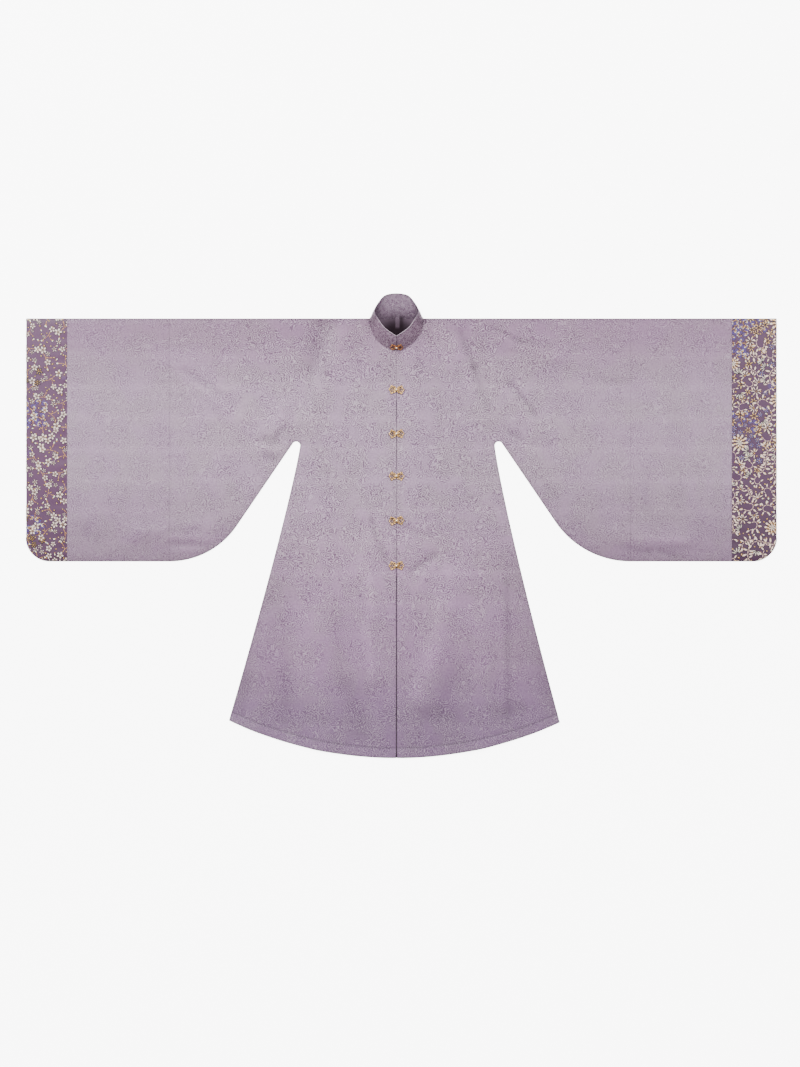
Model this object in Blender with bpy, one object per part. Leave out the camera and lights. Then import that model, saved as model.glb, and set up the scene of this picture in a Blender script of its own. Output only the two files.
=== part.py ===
"""A long coat with a standing collar, a centre-front opening and wide sleeves, laid flat, front up.

Each half of the body is one length of cloth with its upper sleeve, folded over the shoulder and
joined under the arm and down the side. A sleeve extension and a brocade band follow it. Every
piece is a thin wall. Plan sizes are taken from the centre front (width) and from the shoulder fold
(depth); the neck points to +Y, the sleeves to -X and +X, and the cloth rests on z = 0.
"""
import math
from collections import namedtuple
from functools import lru_cache

import bmesh
import bpy
from mathutils import Matrix, Vector

MM = 0.001

# The cloth and how it lies
CLOTH_WALL = 1.2 * MM
FOLD_RADIUS = 1.6 * MM
SEAM_GAP = 0.3 * MM
FOLD_STEPS = 4
BACK_HEIGHT = CLOTH_WALL / 2
FRONT_HEIGHT = BACK_HEIGHT + 2 * FOLD_RADIUS
FRONT_TOP = FRONT_HEIGHT + CLOTH_WALL / 2
EDGE_REACH = FOLD_RADIUS + CLOTH_WALL / 2

# Cut sizes that both sides share
ARMPIT_DEPTH = 328 * MM
ARMPIT_RADIUS = 10.5 * MM
UNDERARM_ANGLE = math.radians(55.8)
SLEEVE_DEPTH = 647 * MM
CUFF_CORNER_RADIUS = 64 * MM
HEM_CENTRE_DEPTH = 1170 * MM
HEM_RADIUS = 1044 * MM
NECK_HALF_WIDTH = 69 * MM
NECK_DEPTH = 81 * MM
COLLAR_TOP = 62.84 * MM

# One row for each side, as it lies in the photograph: widths from the centre front
Side = namedtuple("Side", "name hand armpit sleeve_seam cuff_seam sleeve_end side_top hem_corner side_bow")
SIDES = (
    Side("right", -1, 267 * MM, 604 * MM, 876 * MM, 987 * MM, 256.5 * MM, 446 * MM, 1.12),
    Side("left", 1, 272 * MM, 622 * MM, 892 * MM, 1013 * MM, 261.5 * MM, 435 * MM, 1.15),
)

# The part's origin is under the middle of its box
LAY_X = -(SIDES[1].sleeve_end - SIDES[0].sleeve_end) / 2
LAY_Y = (HEM_CENTRE_DEPTH - COLLAR_TOP) / 2

# The largest folds of the front: a ridge from one point to another, with its half width and height
Fold = namedtuple("Fold", "start_x start_depth end_x end_depth spread height")
FOLDS = (
    Fold(-150, 60, -232, 270, 32, 4.6),
    Fold(165, 70, 236, 250, 30, 4.8),
    Fold(290, 150, 385, 300, 32, 3.8),
    Fold(290, 55, 430, 85, 26, 3.4),
    Fold(-560, 130, -420, 250, 36, 3.4),
    Fold(-345, 340, -300, 240, 26, 4.0),
    Fold(-690, 575, -500, 560, 30, 4.4),
    Fold(560, 580, 770, 590, 30, 4.4),
    Fold(-80, 600, -66, 960, 32, 5.2),
    Fold(150, 690, 70, 1010, 40, 7.0),
    Fold(-215, 830, -205, 1140, 40, 5.8),
    Fold(215, 820, 222, 1140, 40, 5.8),
    Fold(-345, 800, -375, 1080, 32, 4.4),
    Fold(330, 760, 360, 1070, 32, 4.4),
)
FOLD_EASE = 42 * MM
PLACKET_HALF = 24 * MM

# Grid lines of the cloth
NECK_ANGLES = (0, 22.5, 45, 67.5, 90)
SHOULDER_COLUMNS = 8
SLEEVE_COLUMNS = 6
SLEEVE_ROWS = 10
CHEST_ROWS = 8
SKIRT_ROWS = 16
UNDERARM_LINE_STEPS = 3
UNDERARM_ARC_STEPS = 5
CORNER_STEPS = 5
NOTCH_STEPS = 3

# The collar band, from the centre back round to the front edge: seam point and rim point in mm,
# x outwards, y towards the neck side of the shoulder fold, z up
Station = namedtuple("Station", "seam_x seam_y seam_z rim_x rim_y rim_z")
COLLAR_STATIONS = (
    Station(0, -1.4, 1.1, 0, 62.6, 26),
    Station(28, -1.4, 1.2, 31, 57.5, 28),
    Station(54, -1.2, 1.5, 50, 38, 36),
    Station(67.5, 1.2, 2.9, 59.5, 18, 44),
    Station(71.6, -1.0, 5.2, 58, 5, 46),
    Station(70.6, -14, 5.3, 51, -8, 46),
    Station(62, -40, 5.3, 40, -23, 44),
    Station(42, -66.5, 5.3, 27, -34, 42),
    Station(20, -79.6, 5.3, 13, -44, 40),
    Station(0.5, -83.2, 5.3, 0.5, -51, 38),
)
COLLAR_BULGE = 3.0 * MM
COLLAR_STEPS_PER_STATION = 3
COLLAR_ROWS = 5

# The clasps: depths of the five on the front, and a half's open five-lobed ring and ball
CLASP_DEPTHS = (190 * MM, 307.5 * MM, 420 * MM, 538.5 * MM, 658 * MM)
CLASP_RING_X = 9.5 * MM
CLASP_RING_WIDTH = 9.4 * MM
CLASP_RING_HEIGHT = 11.2 * MM
CLASP_LOBES = 5
CLASP_LOBE_SIZE = 0.1
CLASP_RING_OPENING = 0.42
CLASP_RING_STEPS = 25
CLASP_BALL_RADIUS = 3.5 * MM
CLASP_BALL_HEIGHT = 3.6 * MM
CLASP_BALL_STEPS = 10
# The ring's section: a share of the way from its opening to its outer edge, and a height
Section = namedtuple("Section", "share height")
CLASP_SECTION = (
    Section(1, 0),
    Section(1, 1.2 * MM),
    Section(0.62, 2.3 * MM),
    Section(0, 1.4 * MM),
    Section(0, 0),
)
COLLAR_CLASP_SCALE = 0.86
COLLAR_CLASP_HEIGHT = 0.22
COLLAR_CLASP_LIFT = 0.85 * MM
WELD = 0.02 * MM

# Plain colours of the cloths and metals: red, green, blue, then roughness
DAMASK = (0.44, 0.36, 0.44, 0.55)
BROCADE = (0.25, 0.14, 0.27, 0.45)
COLLAR_CLOTH = (0.22, 0.16, 0.22, 0.5)
GILT = (0.72, 0.5, 0.22, 0.3)
COPPER = (0.6, 0.3, 0.13, 0.35)
SHARP_ANGLE = math.radians(35)

ChainPoint = namedtuple("ChainPoint", "x depth normal_x normal_depth")


def smooth(value):
    """Ease from 0 to 1."""
    value = min(max(value, 0.0), 1.0)
    return value * value * (3 - 2 * value)


def place(x, depth, z):
    """World point of a width from the centre front, a depth from the shoulder fold and a height."""
    return Vector((LAY_X + x, LAY_Y - depth, z))


def arc_chain(centre_x, centre_depth, radius, start, end, steps, outwards):
    """Points on an arc; angles run from straight up. outwards is -1 where the cloth is outside it."""
    points = []
    for step in range(steps + 1):
        angle = start + (end - start) * step / steps
        away_x, away_depth = math.sin(angle), -math.cos(angle)
        points.append(ChainPoint(centre_x + radius * away_x, centre_depth + radius * away_depth,
                                 outwards * away_x, outwards * away_depth))
    return points


def line_chain(start, end, steps):
    """Points strictly between two chain points of one straight edge."""
    points = []
    for step in range(1, steps):
        share = step / steps
        points.append(ChainPoint(start.x + (end.x - start.x) * share,
                                 start.depth + (end.depth - start.depth) * share,
                                 start.normal_x, start.normal_depth))
    return points


def inset(chain):
    """The end of the flat layer, inside an edge that is folded or seamed."""
    return [point._replace(x=point.x - EDGE_REACH * point.normal_x,
                           depth=point.depth - EDGE_REACH * point.normal_depth) for point in chain]


@lru_cache
def underarm_chain(side):
    """From the armpit along the sloping underarm and its arc to the sleeve seam."""
    notch = arc_chain(side.armpit, ARMPIT_DEPTH + ARMPIT_RADIUS, ARMPIT_RADIUS,
                      0, UNDERARM_ANGLE, NOTCH_STEPS, -1)
    slope_start = notch[-1]
    corner_x = slope_start.x + (SLEEVE_DEPTH - slope_start.depth) / math.tan(UNDERARM_ANGLE)
    radius = (side.sleeve_seam - corner_x) / math.tan(UNDERARM_ANGLE / 2)
    arc = arc_chain(side.sleeve_seam, SLEEVE_DEPTH - radius, radius,
                    math.pi + UNDERARM_ANGLE, math.pi, UNDERARM_ARC_STEPS, 1)
    seam_x = side.sleeve_seam - SEAM_GAP / 2
    arc[-1] = arc[-1]._replace(x=seam_x)
    return notch + line_chain(slope_start, arc[0], UNDERARM_LINE_STEPS) + arc


def hem_depth(x):
    """Depth of the curved hem at a width."""
    return HEM_CENTRE_DEPTH - HEM_RADIUS + math.sqrt(HEM_RADIUS ** 2 - x ** 2)


def hem_drop(side, share):
    """How far the hem has dropped below its corner, as a share, at a share of its half width."""
    corner = hem_depth(side.hem_corner)
    return (hem_depth(share * side.hem_corner) - corner) / (HEM_CENTRE_DEPTH - corner)


def side_width(side, depth):
    """Half width of the body at a depth below the armpit."""
    top = ARMPIT_DEPTH + ARMPIT_RADIUS
    share = (depth - top) / (hem_depth(side.hem_corner) - top)
    return side.side_top + (side.hem_corner - side.side_top) * share ** side.side_bow


@lru_cache
def side_chain(side):
    """From the armpit down the side seam to the hem."""
    chain = arc_chain(side.armpit, ARMPIT_DEPTH + ARMPIT_RADIUS, ARMPIT_RADIUS,
                      0, -math.pi / 2, NOTCH_STEPS, -1)
    top = ARMPIT_DEPTH + ARMPIT_RADIUS
    bottom = hem_depth(side.hem_corner)
    probe = MM
    for row in range(1, SKIRT_ROWS + 1):
        depth = top + (bottom - top) * row / SKIRT_ROWS
        slope = (side_width(side, depth + probe) - side_width(side, depth)) / probe
        length = math.hypot(1, slope)
        chain.append(ChainPoint(side_width(side, depth), depth, 1 / length, -slope / length))
    return chain


def cuff_chain(side):
    """From the cuff seam along the sleeve's lower edge and round its corner."""
    start = ChainPoint(side.cuff_seam + SEAM_GAP / 2, SLEEVE_DEPTH, 0, 1)
    corner = arc_chain(side.sleeve_end - CUFF_CORNER_RADIUS, SLEEVE_DEPTH - CUFF_CORNER_RADIUS,
                       CUFF_CORNER_RADIUS, math.pi, math.pi / 2, CORNER_STEPS, 1)
    corner[-1] = corner[-1]._replace(normal_depth=0)
    return [start] + corner


def sleeve_chain(side):
    """The sleeve extension's straight lower edge, between its two seams."""
    start_x = side.sleeve_seam + SEAM_GAP / 2
    reach = side.cuff_seam - SEAM_GAP / 2 - start_x
    return [ChainPoint(start_x + reach * step / SLEEVE_COLUMNS, SLEEVE_DEPTH, 0, 1)
            for step in range(SLEEVE_COLUMNS + 1)]


def distance_to_line(x, depth, start_x, start_depth, end_x, end_depth):
    """Distance from a plan point to a straight run between two others."""
    run_x, run_depth = end_x - start_x, end_depth - start_depth
    along = ((x - start_x) * run_x + (depth - start_depth) * run_depth) / (run_x ** 2 + run_depth ** 2)
    near = min(max(along, 0.0), 1.0)
    return math.hypot(x - start_x - near * run_x, depth - start_depth - near * run_depth)


def closed_edge_distance(side, x, depth):
    """Distance to the nearest folded or seamed edge, or to the neck."""
    width = abs(x)
    nearest = depth
    outline = list(reversed(underarm_chain(side))) + side_chain(side)[1:]
    for start, end in zip(outline, outline[1:]):
        nearest = min(nearest, distance_to_line(width, depth, start.x, start.depth, end.x, end.depth))
    if width > side.sleeve_seam:
        nearest = min(nearest, SLEEVE_DEPTH - depth)
    neck = math.hypot(width / NECK_HALF_WIDTH, depth / NECK_DEPTH) - 1
    return min(nearest, max(neck, 0.0) * NECK_HALF_WIDTH)


def front_height(side, x, depth):
    """Height of the front layer's middle, with its largest folds."""
    ease = smooth((closed_edge_distance(side, x, depth) - EDGE_REACH) / FOLD_EASE)
    ease *= smooth((abs(x) - PLACKET_HALF) / FOLD_EASE)
    raised = 0.0
    for fold in FOLDS:
        ends = (fold.start_x, fold.start_depth, fold.end_x, fold.end_depth)
        gap = distance_to_line(x / MM, depth / MM, *ends)
        raised += fold.height * MM * math.exp(-(gap / fold.spread) ** 2)
    return FRONT_HEIGHT + ease * raised


def add_grid(bm, columns, rows, point):
    """A grid of cloth; the vertex of column i and row j is at point(i, j)."""
    made = bmesh.ops.create_grid(bm, x_segments=columns - 1, y_segments=rows - 1, size=0.5)
    for vert in made["verts"]:
        column = round((vert.co.x + 0.5) * (columns - 1))
        row = round((vert.co.y + 0.5) * (rows - 1))
        vert.co = point(column, row)


def add_edge_strip(bm, side, chain):
    """The half-round turn of cloth that joins the front layer to the back layer along an edge."""
    def point(column, row):
        edge = chain[column]
        angle = math.pi * row / FOLD_STEPS
        reach = FOLD_RADIUS * math.sin(angle)
        z = BACK_HEIGHT + FOLD_RADIUS * (1 + math.cos(angle))
        width = edge.x + reach * edge.normal_x
        return place(side.hand * width, edge.depth + reach * edge.normal_depth, z)
    add_grid(bm, len(chain), FOLD_STEPS + 1, point)


def add_layers(bm, side, columns, rows, plan):
    """A front and a back layer whose plan position in column i and row j is plan(i, j, layer)."""
    def front(column, row):
        x, depth = plan(column, row, "front")
        return place(side.hand * x, depth, front_height(side, side.hand * x, depth))

    def back(column, row):
        x, depth = plan(column, row, "back")
        return place(side.hand * x, depth, BACK_HEIGHT)

    add_grid(bm, columns, rows, front)
    add_grid(bm, columns, rows, back)


def finish_wall(name, bm, finish):
    """Weld the strips and layers into one sheet and give it the cloth's thickness."""
    bmesh.ops.remove_doubles(bm, verts=bm.verts, dist=WELD)
    bmesh.ops.recalc_face_normals(bm, faces=bm.faces)
    obj = finish_object(name, bm, principled(name + "_cloth", finish, 0))
    wall = obj.modifiers.new("wall", "SOLIDIFY")
    wall.thickness = CLOTH_WALL
    wall.offset = 0
    wall.use_even_offset = True
    return obj


def finish_object(name, bm, material):
    """Write the mesh to an object of the scene."""
    mesh = bpy.data.meshes.new(name)
    bm.to_mesh(mesh)
    bm.free()
    mesh.shade_smooth()
    mesh.materials.append(material)
    obj = bpy.data.objects.new(name, mesh)
    bpy.context.collection.objects.link(obj)
    return obj


def principled(name, finish, metallic):
    """A Principled material with one colour and roughness."""
    red, green, blue, roughness = finish
    material = bpy.data.materials.new(name)
    material.use_nodes = True
    shader = material.node_tree.nodes["Principled BSDF"]
    shader.inputs["Base Color"].default_value = (red, green, blue, 1)
    shader.inputs["Roughness"].default_value = roughness
    shader.inputs["Metallic"].default_value = metallic
    return material


def body_columns(side):
    """Widths of the trunk's grid lines at the chest: close together round the neck."""
    neck = [NECK_HALF_WIDTH * math.sin(math.radians(angle)) for angle in NECK_ANGLES]
    neck[0] = SEAM_GAP / 2
    reach = side.armpit - NECK_HALF_WIDTH
    steps = range(1, SHOULDER_COLUMNS + 1)
    return neck + [NECK_HALF_WIDTH + reach * step / SHOULDER_COLUMNS for step in steps]


def neck_edge(column):
    """Depth of the front neckline at a grid line, or the end of the shoulder fold outside it."""
    if column >= len(NECK_ANGLES):
        return EDGE_REACH
    return max(NECK_DEPTH * math.cos(math.radians(NECK_ANGLES[column])), EDGE_REACH)


def build_body(side):
    """Half of the body with its upper sleeve: front and back in one, folded over the shoulder."""
    bm = bmesh.new()
    columns = body_columns(side)
    underarm = inset(underarm_chain(side))
    flank = inset(side_chain(side))
    armpit_depth = flank[0].depth

    def chest(column, row, layer):
        top = neck_edge(column) if layer == "front" else EDGE_REACH
        return columns[column], top + (armpit_depth - top) * row / CHEST_ROWS

    def skirt(column, row, layer):
        share = (columns[column] - columns[0]) / (columns[-1] - columns[0])
        fall = (flank[row].depth - armpit_depth) / (flank[-1].depth - armpit_depth)
        drop = hem_drop(side, share) * (HEM_CENTRE_DEPTH - flank[-1].depth)
        return columns[0] + share * (flank[row].x - columns[0]), flank[row].depth + drop * fall ** 2

    def upper_sleeve(column, row, layer):
        edge = underarm[column]
        return edge.x, EDGE_REACH + (edge.depth - EDGE_REACH) * row / CHEST_ROWS

    add_layers(bm, side, len(columns), CHEST_ROWS + 1, chest)
    add_layers(bm, side, len(columns), len(flank), skirt)
    add_layers(bm, side, len(underarm), CHEST_ROWS + 1, upper_sleeve)
    shoulder_widths = columns[len(NECK_ANGLES) - 1:] + [edge.x for edge in underarm[1:]]
    add_edge_strip(bm, side, [ChainPoint(x, EDGE_REACH, 0, -1) for x in shoulder_widths])
    add_edge_strip(bm, side, underarm)
    add_edge_strip(bm, side, flank)
    return finish_wall("body_" + side.name, bm, DAMASK)


def build_tube(name, side, chain, finish):
    """A flat sleeve piece between two seams: layers from the shoulder fold to its lower edge."""
    bm = bmesh.new()
    lower = inset(chain)

    def plan(column, row, layer):
        edge = lower[column]
        return edge.x, EDGE_REACH + (edge.depth - EDGE_REACH) * row / SLEEVE_ROWS

    add_layers(bm, side, len(lower), SLEEVE_ROWS + 1, plan)
    add_edge_strip(bm, side, [ChainPoint(edge.x, EDGE_REACH, 0, -1) for edge in lower])
    add_edge_strip(bm, side, lower)
    return finish_wall(name + "_" + side.name, bm, finish)


def catmull(before, start, end, after, share):
    """A smooth curve through a table's values, one column at a time."""
    return tuple(0.5 * (2 * b + (c - a) * share + (2 * a - 5 * b + 4 * c - d) * share ** 2
                        + (3 * b - a - 3 * c + d) * share ** 3)
                 for a, b, c, d in zip(before, start, end, after))


def collar_station(position):
    """The band's seam and rim points at a position counted in table rows from the centre back."""
    last = len(COLLAR_STATIONS) - 1
    row = min(int(position), last - 1)
    share = position - row
    first = COLLAR_STATIONS[1]
    mirrored = first._replace(seam_x=-first.seam_x, rim_x=-first.rim_x)
    before = COLLAR_STATIONS[row - 1] if row > 0 else mirrored
    start, end = COLLAR_STATIONS[row], COLLAR_STATIONS[row + 1]
    beyond = Station(*(2 * b - a for a, b in zip(start, end)))
    after = COLLAR_STATIONS[row + 2] if row + 2 <= last else beyond
    return Station(*catmull(before, start, end, after, share))


def collar_point(position, height, hand):
    """A point of the band's middle, from its seam (height 0) to its rim (height 1)."""
    station = collar_station(position)
    seam = Vector((station.seam_x, station.seam_y, station.seam_z)) * MM
    rim = Vector((station.rim_x, station.rim_y, station.rim_z)) * MM
    middle = Vector((0, -10 * MM, 0))
    away = (seam - middle).to_2d().normalized().to_3d()
    point = seam.lerp(rim, height) + away * COLLAR_BULGE * math.sin(math.pi * height) * height
    return Vector((LAY_X + hand * point.x, LAY_Y + point.y, point.z))


def build_collar():
    """The standing band, open at the centre front and hollow where the neck goes."""
    bm = bmesh.new()
    half = (len(COLLAR_STATIONS) - 1) * COLLAR_STEPS_PER_STATION

    def point(column, row):
        step = column - half
        return collar_point(abs(step) / COLLAR_STEPS_PER_STATION, row / COLLAR_ROWS, 1 if step >= 0 else -1)

    add_grid(bm, 2 * half + 1, COLLAR_ROWS + 1, point)
    return finish_wall("collar", bm, COLLAR_CLOTH)


def clasp_ring():
    """A cast, open, five-lobed ring with a crowned section, lying on z = 0 beside x = 0."""
    bm = bmesh.new()

    def point(column, row):
        angle = 2 * math.pi * column / CLASP_RING_STEPS
        section = CLASP_SECTION[row % len(CLASP_SECTION)]
        lobe = 1 + CLASP_LOBE_SIZE * math.cos(CLASP_LOBES * angle)
        reach = (CLASP_RING_OPENING + (1 - CLASP_RING_OPENING) * section.share) * lobe
        return Vector((CLASP_RING_X + CLASP_RING_WIDTH * reach * math.cos(angle),
                       CLASP_RING_HEIGHT * reach * math.sin(angle), section.height))

    add_grid(bm, CLASP_RING_STEPS + 1, len(CLASP_SECTION) + 1, point)
    bmesh.ops.remove_doubles(bm, verts=bm.verts, dist=WELD)
    return bm


def finish_clasp(name, bm, frame, hand, scale, material):
    """Turn a ring to its side, seat it in its frame and write it out."""
    bmesh.ops.scale(bm, verts=bm.verts, vec=(hand * scale, scale, scale))
    bmesh.ops.transform(bm, matrix=frame, verts=bm.verts)
    bmesh.ops.recalc_face_normals(bm, faces=bm.faces)
    obj = finish_object(name, bm, material)
    obj.data.set_sharp_from_angle(angle=SHARP_ANGLE)
    return obj


def add_boolean(obj, operation, frame, radius):
    """Fuse the stud's ball to its ring, or cut the ball's room out of the socket."""
    bm = bmesh.new()
    bmesh.ops.create_uvsphere(bm, u_segments=CLASP_BALL_STEPS, v_segments=CLASP_BALL_STEPS // 2 + 1,
                              radius=radius)
    bmesh.ops.transform(bm, matrix=frame, verts=bm.verts)
    ball = finish_object(obj.name + "_ball", bm, obj.data.materials[0])
    ball.hide_render = True
    ball.display_type = "WIRE"
    boolean = obj.modifiers.new("ball", "BOOLEAN")
    boolean.operation = operation
    boolean.object = ball


def build_clasp(number, frame, scale, material):
    """A fastened clasp: the stud half on the left side, the socket half on the right."""
    ball_frame = frame @ Matrix.Translation((0, 0, CLASP_BALL_HEIGHT * scale))
    stud = finish_clasp(f"clasp_{number}_stud", clasp_ring(), frame, 1, scale, material)
    add_boolean(stud, "UNION", ball_frame, CLASP_BALL_RADIUS * scale)
    socket = finish_clasp(f"clasp_{number}_socket", clasp_ring(), frame, -1, scale, material)
    add_boolean(socket, "DIFFERENCE", ball_frame, CLASP_BALL_RADIUS * scale + SEAM_GAP)


def front_frame(depth):
    """Where a clasp lies on the flat placket."""
    return Matrix.Translation(place(0, depth, FRONT_TOP + SEAM_GAP))


def collar_frame():
    """Where the first clasp lies: on the band's front, just above its seam."""
    front = len(COLLAR_STATIONS) - 1
    low = collar_point(front, 0, 1)
    high = collar_point(front, 2 * COLLAR_CLASP_HEIGHT, 1)
    up = (high - low).normalized()
    across = Vector((1, 0, 0))
    out = across.cross(up)
    frame = Matrix((across, up, out)).transposed().to_4x4()
    frame.translation = (low + high) / 2 + out * COLLAR_CLASP_LIFT
    frame.translation.x = LAY_X
    return frame


def clear_scene():
    """Remove what the scene holds."""
    for obj in list(bpy.data.objects):
        bpy.data.objects.remove(obj)


def main():
    """Build every piece."""
    clear_scene()
    gold = principled("gilt_metal", GILT, 1)
    copper = principled("copper_metal", COPPER, 1)
    for side in SIDES:
        build_body(side)
        build_tube("sleeve", side, sleeve_chain(side), DAMASK)
        build_tube("cuff", side, cuff_chain(side), BROCADE)
    build_collar()
    build_clasp(1, collar_frame(), COLLAR_CLASP_SCALE, copper)
    for number, depth in enumerate(CLASP_DEPTHS, start=2):
        build_clasp(number, front_frame(depth), 1, gold)


main()
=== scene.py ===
import math
import random
from collections import namedtuple
from functools import lru_cache, partial

import bmesh
import bpy
import numpy as np
from bpy.props import FloatProperty, FloatVectorProperty, IntProperty, PointerProperty
from mathutils import Matrix, Vector

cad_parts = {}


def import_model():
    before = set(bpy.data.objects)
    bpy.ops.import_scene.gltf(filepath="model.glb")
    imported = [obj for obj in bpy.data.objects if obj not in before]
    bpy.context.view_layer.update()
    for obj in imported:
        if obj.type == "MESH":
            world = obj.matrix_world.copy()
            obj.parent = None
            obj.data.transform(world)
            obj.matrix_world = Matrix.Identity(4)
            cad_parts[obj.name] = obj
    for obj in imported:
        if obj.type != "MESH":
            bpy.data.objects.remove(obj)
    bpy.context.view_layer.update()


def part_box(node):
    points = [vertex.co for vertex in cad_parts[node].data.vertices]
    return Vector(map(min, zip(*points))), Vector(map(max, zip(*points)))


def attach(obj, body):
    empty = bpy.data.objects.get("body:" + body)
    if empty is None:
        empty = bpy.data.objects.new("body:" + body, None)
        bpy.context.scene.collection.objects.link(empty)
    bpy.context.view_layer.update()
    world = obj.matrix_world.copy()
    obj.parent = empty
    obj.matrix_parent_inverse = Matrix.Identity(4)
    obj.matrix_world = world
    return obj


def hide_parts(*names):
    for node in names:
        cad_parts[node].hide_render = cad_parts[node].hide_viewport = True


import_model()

# A long coat with a standing collar and wide sleeves, laid flat with its front up. Plan sizes are
# a width from the centre front and a depth from the shoulder fold; heights are above the floor.

bl_info = {
    "name": "Wide-sleeved coat",
    "version": (1, 0, 0),
    "blender": (4, 5, 0),
    "location": "3D View > Sidebar > Coat",
    "description": "Damask cloth, brocade bands, collar, clasps, sewing and a pale stage for a laid coat",
    "category": "Mesh",
}

MM = 0.001

# How the cloth lies, as in the solids
SOLID_WALL = 1.2 * MM
FOLD_RADIUS = 1.6 * MM
SEAM_GAP = 0.3 * MM
BACK_HEIGHT = SOLID_WALL / 2
FRONT_HEIGHT = BACK_HEIGHT + 2 * FOLD_RADIUS
FRONT_TOP = FRONT_HEIGHT + SOLID_WALL / 2
EDGE_REACH = FOLD_RADIUS + SOLID_WALL / 2

# The centre front and the shoulder fold, read from the frame
LAY_X = (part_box("body_right")[1].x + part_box("body_left")[0].x) / 2
LAY_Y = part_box("cuff_left")[1].y

ARMPIT_DEPTH = 328 * MM
ARMPIT_RADIUS = 10.5 * MM
ARMPIT_CENTRE = ARMPIT_DEPTH + ARMPIT_RADIUS
UNDERARM_ANGLE = math.radians(55.8)
SLEEVE_DEPTH = LAY_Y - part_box("cuff_left")[0].y
CUFF_CORNER_RADIUS = 64 * MM
HEM_CENTRE_DEPTH = LAY_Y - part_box("body_left")[0].y
HEM_RADIUS = 1044 * MM
NECK_HALF_WIDTH = 69 * MM
NECK_DEPTH = 81 * MM

Side = namedtuple("Side", "name hand armpit sleeve_seam cuff_seam sleeve_end side_top hem_corner side_bow")


def read_side(name, hand, armpit, side_top, hem_corner, side_bow):
    """A side's widths from the centre front, its seams read from the frame."""
    def width(node, far):
        ends = sorted(hand * (corner.x - LAY_X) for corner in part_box(f"{node}_{name}"))
        return ends[far]

    return Side(name, hand, armpit, width("sleeve", 0) - SEAM_GAP / 2, width("cuff", 0) - SEAM_GAP / 2,
                width("cuff", 1), side_top, hem_corner, side_bow)


SIDES = (
    read_side("right", -1, 267 * MM, 256.5 * MM, 446 * MM, 1.12),
    read_side("left", 1, 272 * MM, 261.5 * MM, 435 * MM, 1.15),
)

# Ridges (height over 0) and troughs (under 0) of the front, in mm: from one point to another,
# with how far the slope spreads on each side. FOLDS are the solids' own, and CREASES are finer.
Fold = namedtuple("Fold", "start_x start_depth end_x end_depth spread height")
FOLDS = tuple(Fold(*row) for row in (
    (-150, 60, -232, 270, 32, 4.6), (165, 70, 236, 250, 30, 4.8), (290, 150, 385, 300, 32, 3.8),
    (290, 55, 430, 85, 26, 3.4), (-560, 130, -420, 250, 36, 3.4), (-345, 340, -300, 240, 26, 4.0),
    (-690, 575, -500, 560, 30, 4.4), (560, 580, 770, 590, 30, 4.4), (-80, 600, -66, 960, 32, 5.2),
    (150, 690, 70, 1010, 40, 7.0), (-215, 830, -205, 1140, 40, 5.8), (215, 820, 222, 1140, 40, 5.8),
    (-345, 800, -375, 1080, 32, 4.4), (330, 760, 360, 1070, 32, 4.4),
))
FOLD_EASE = 42 * MM
PLACKET_HALF = 24 * MM
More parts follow.
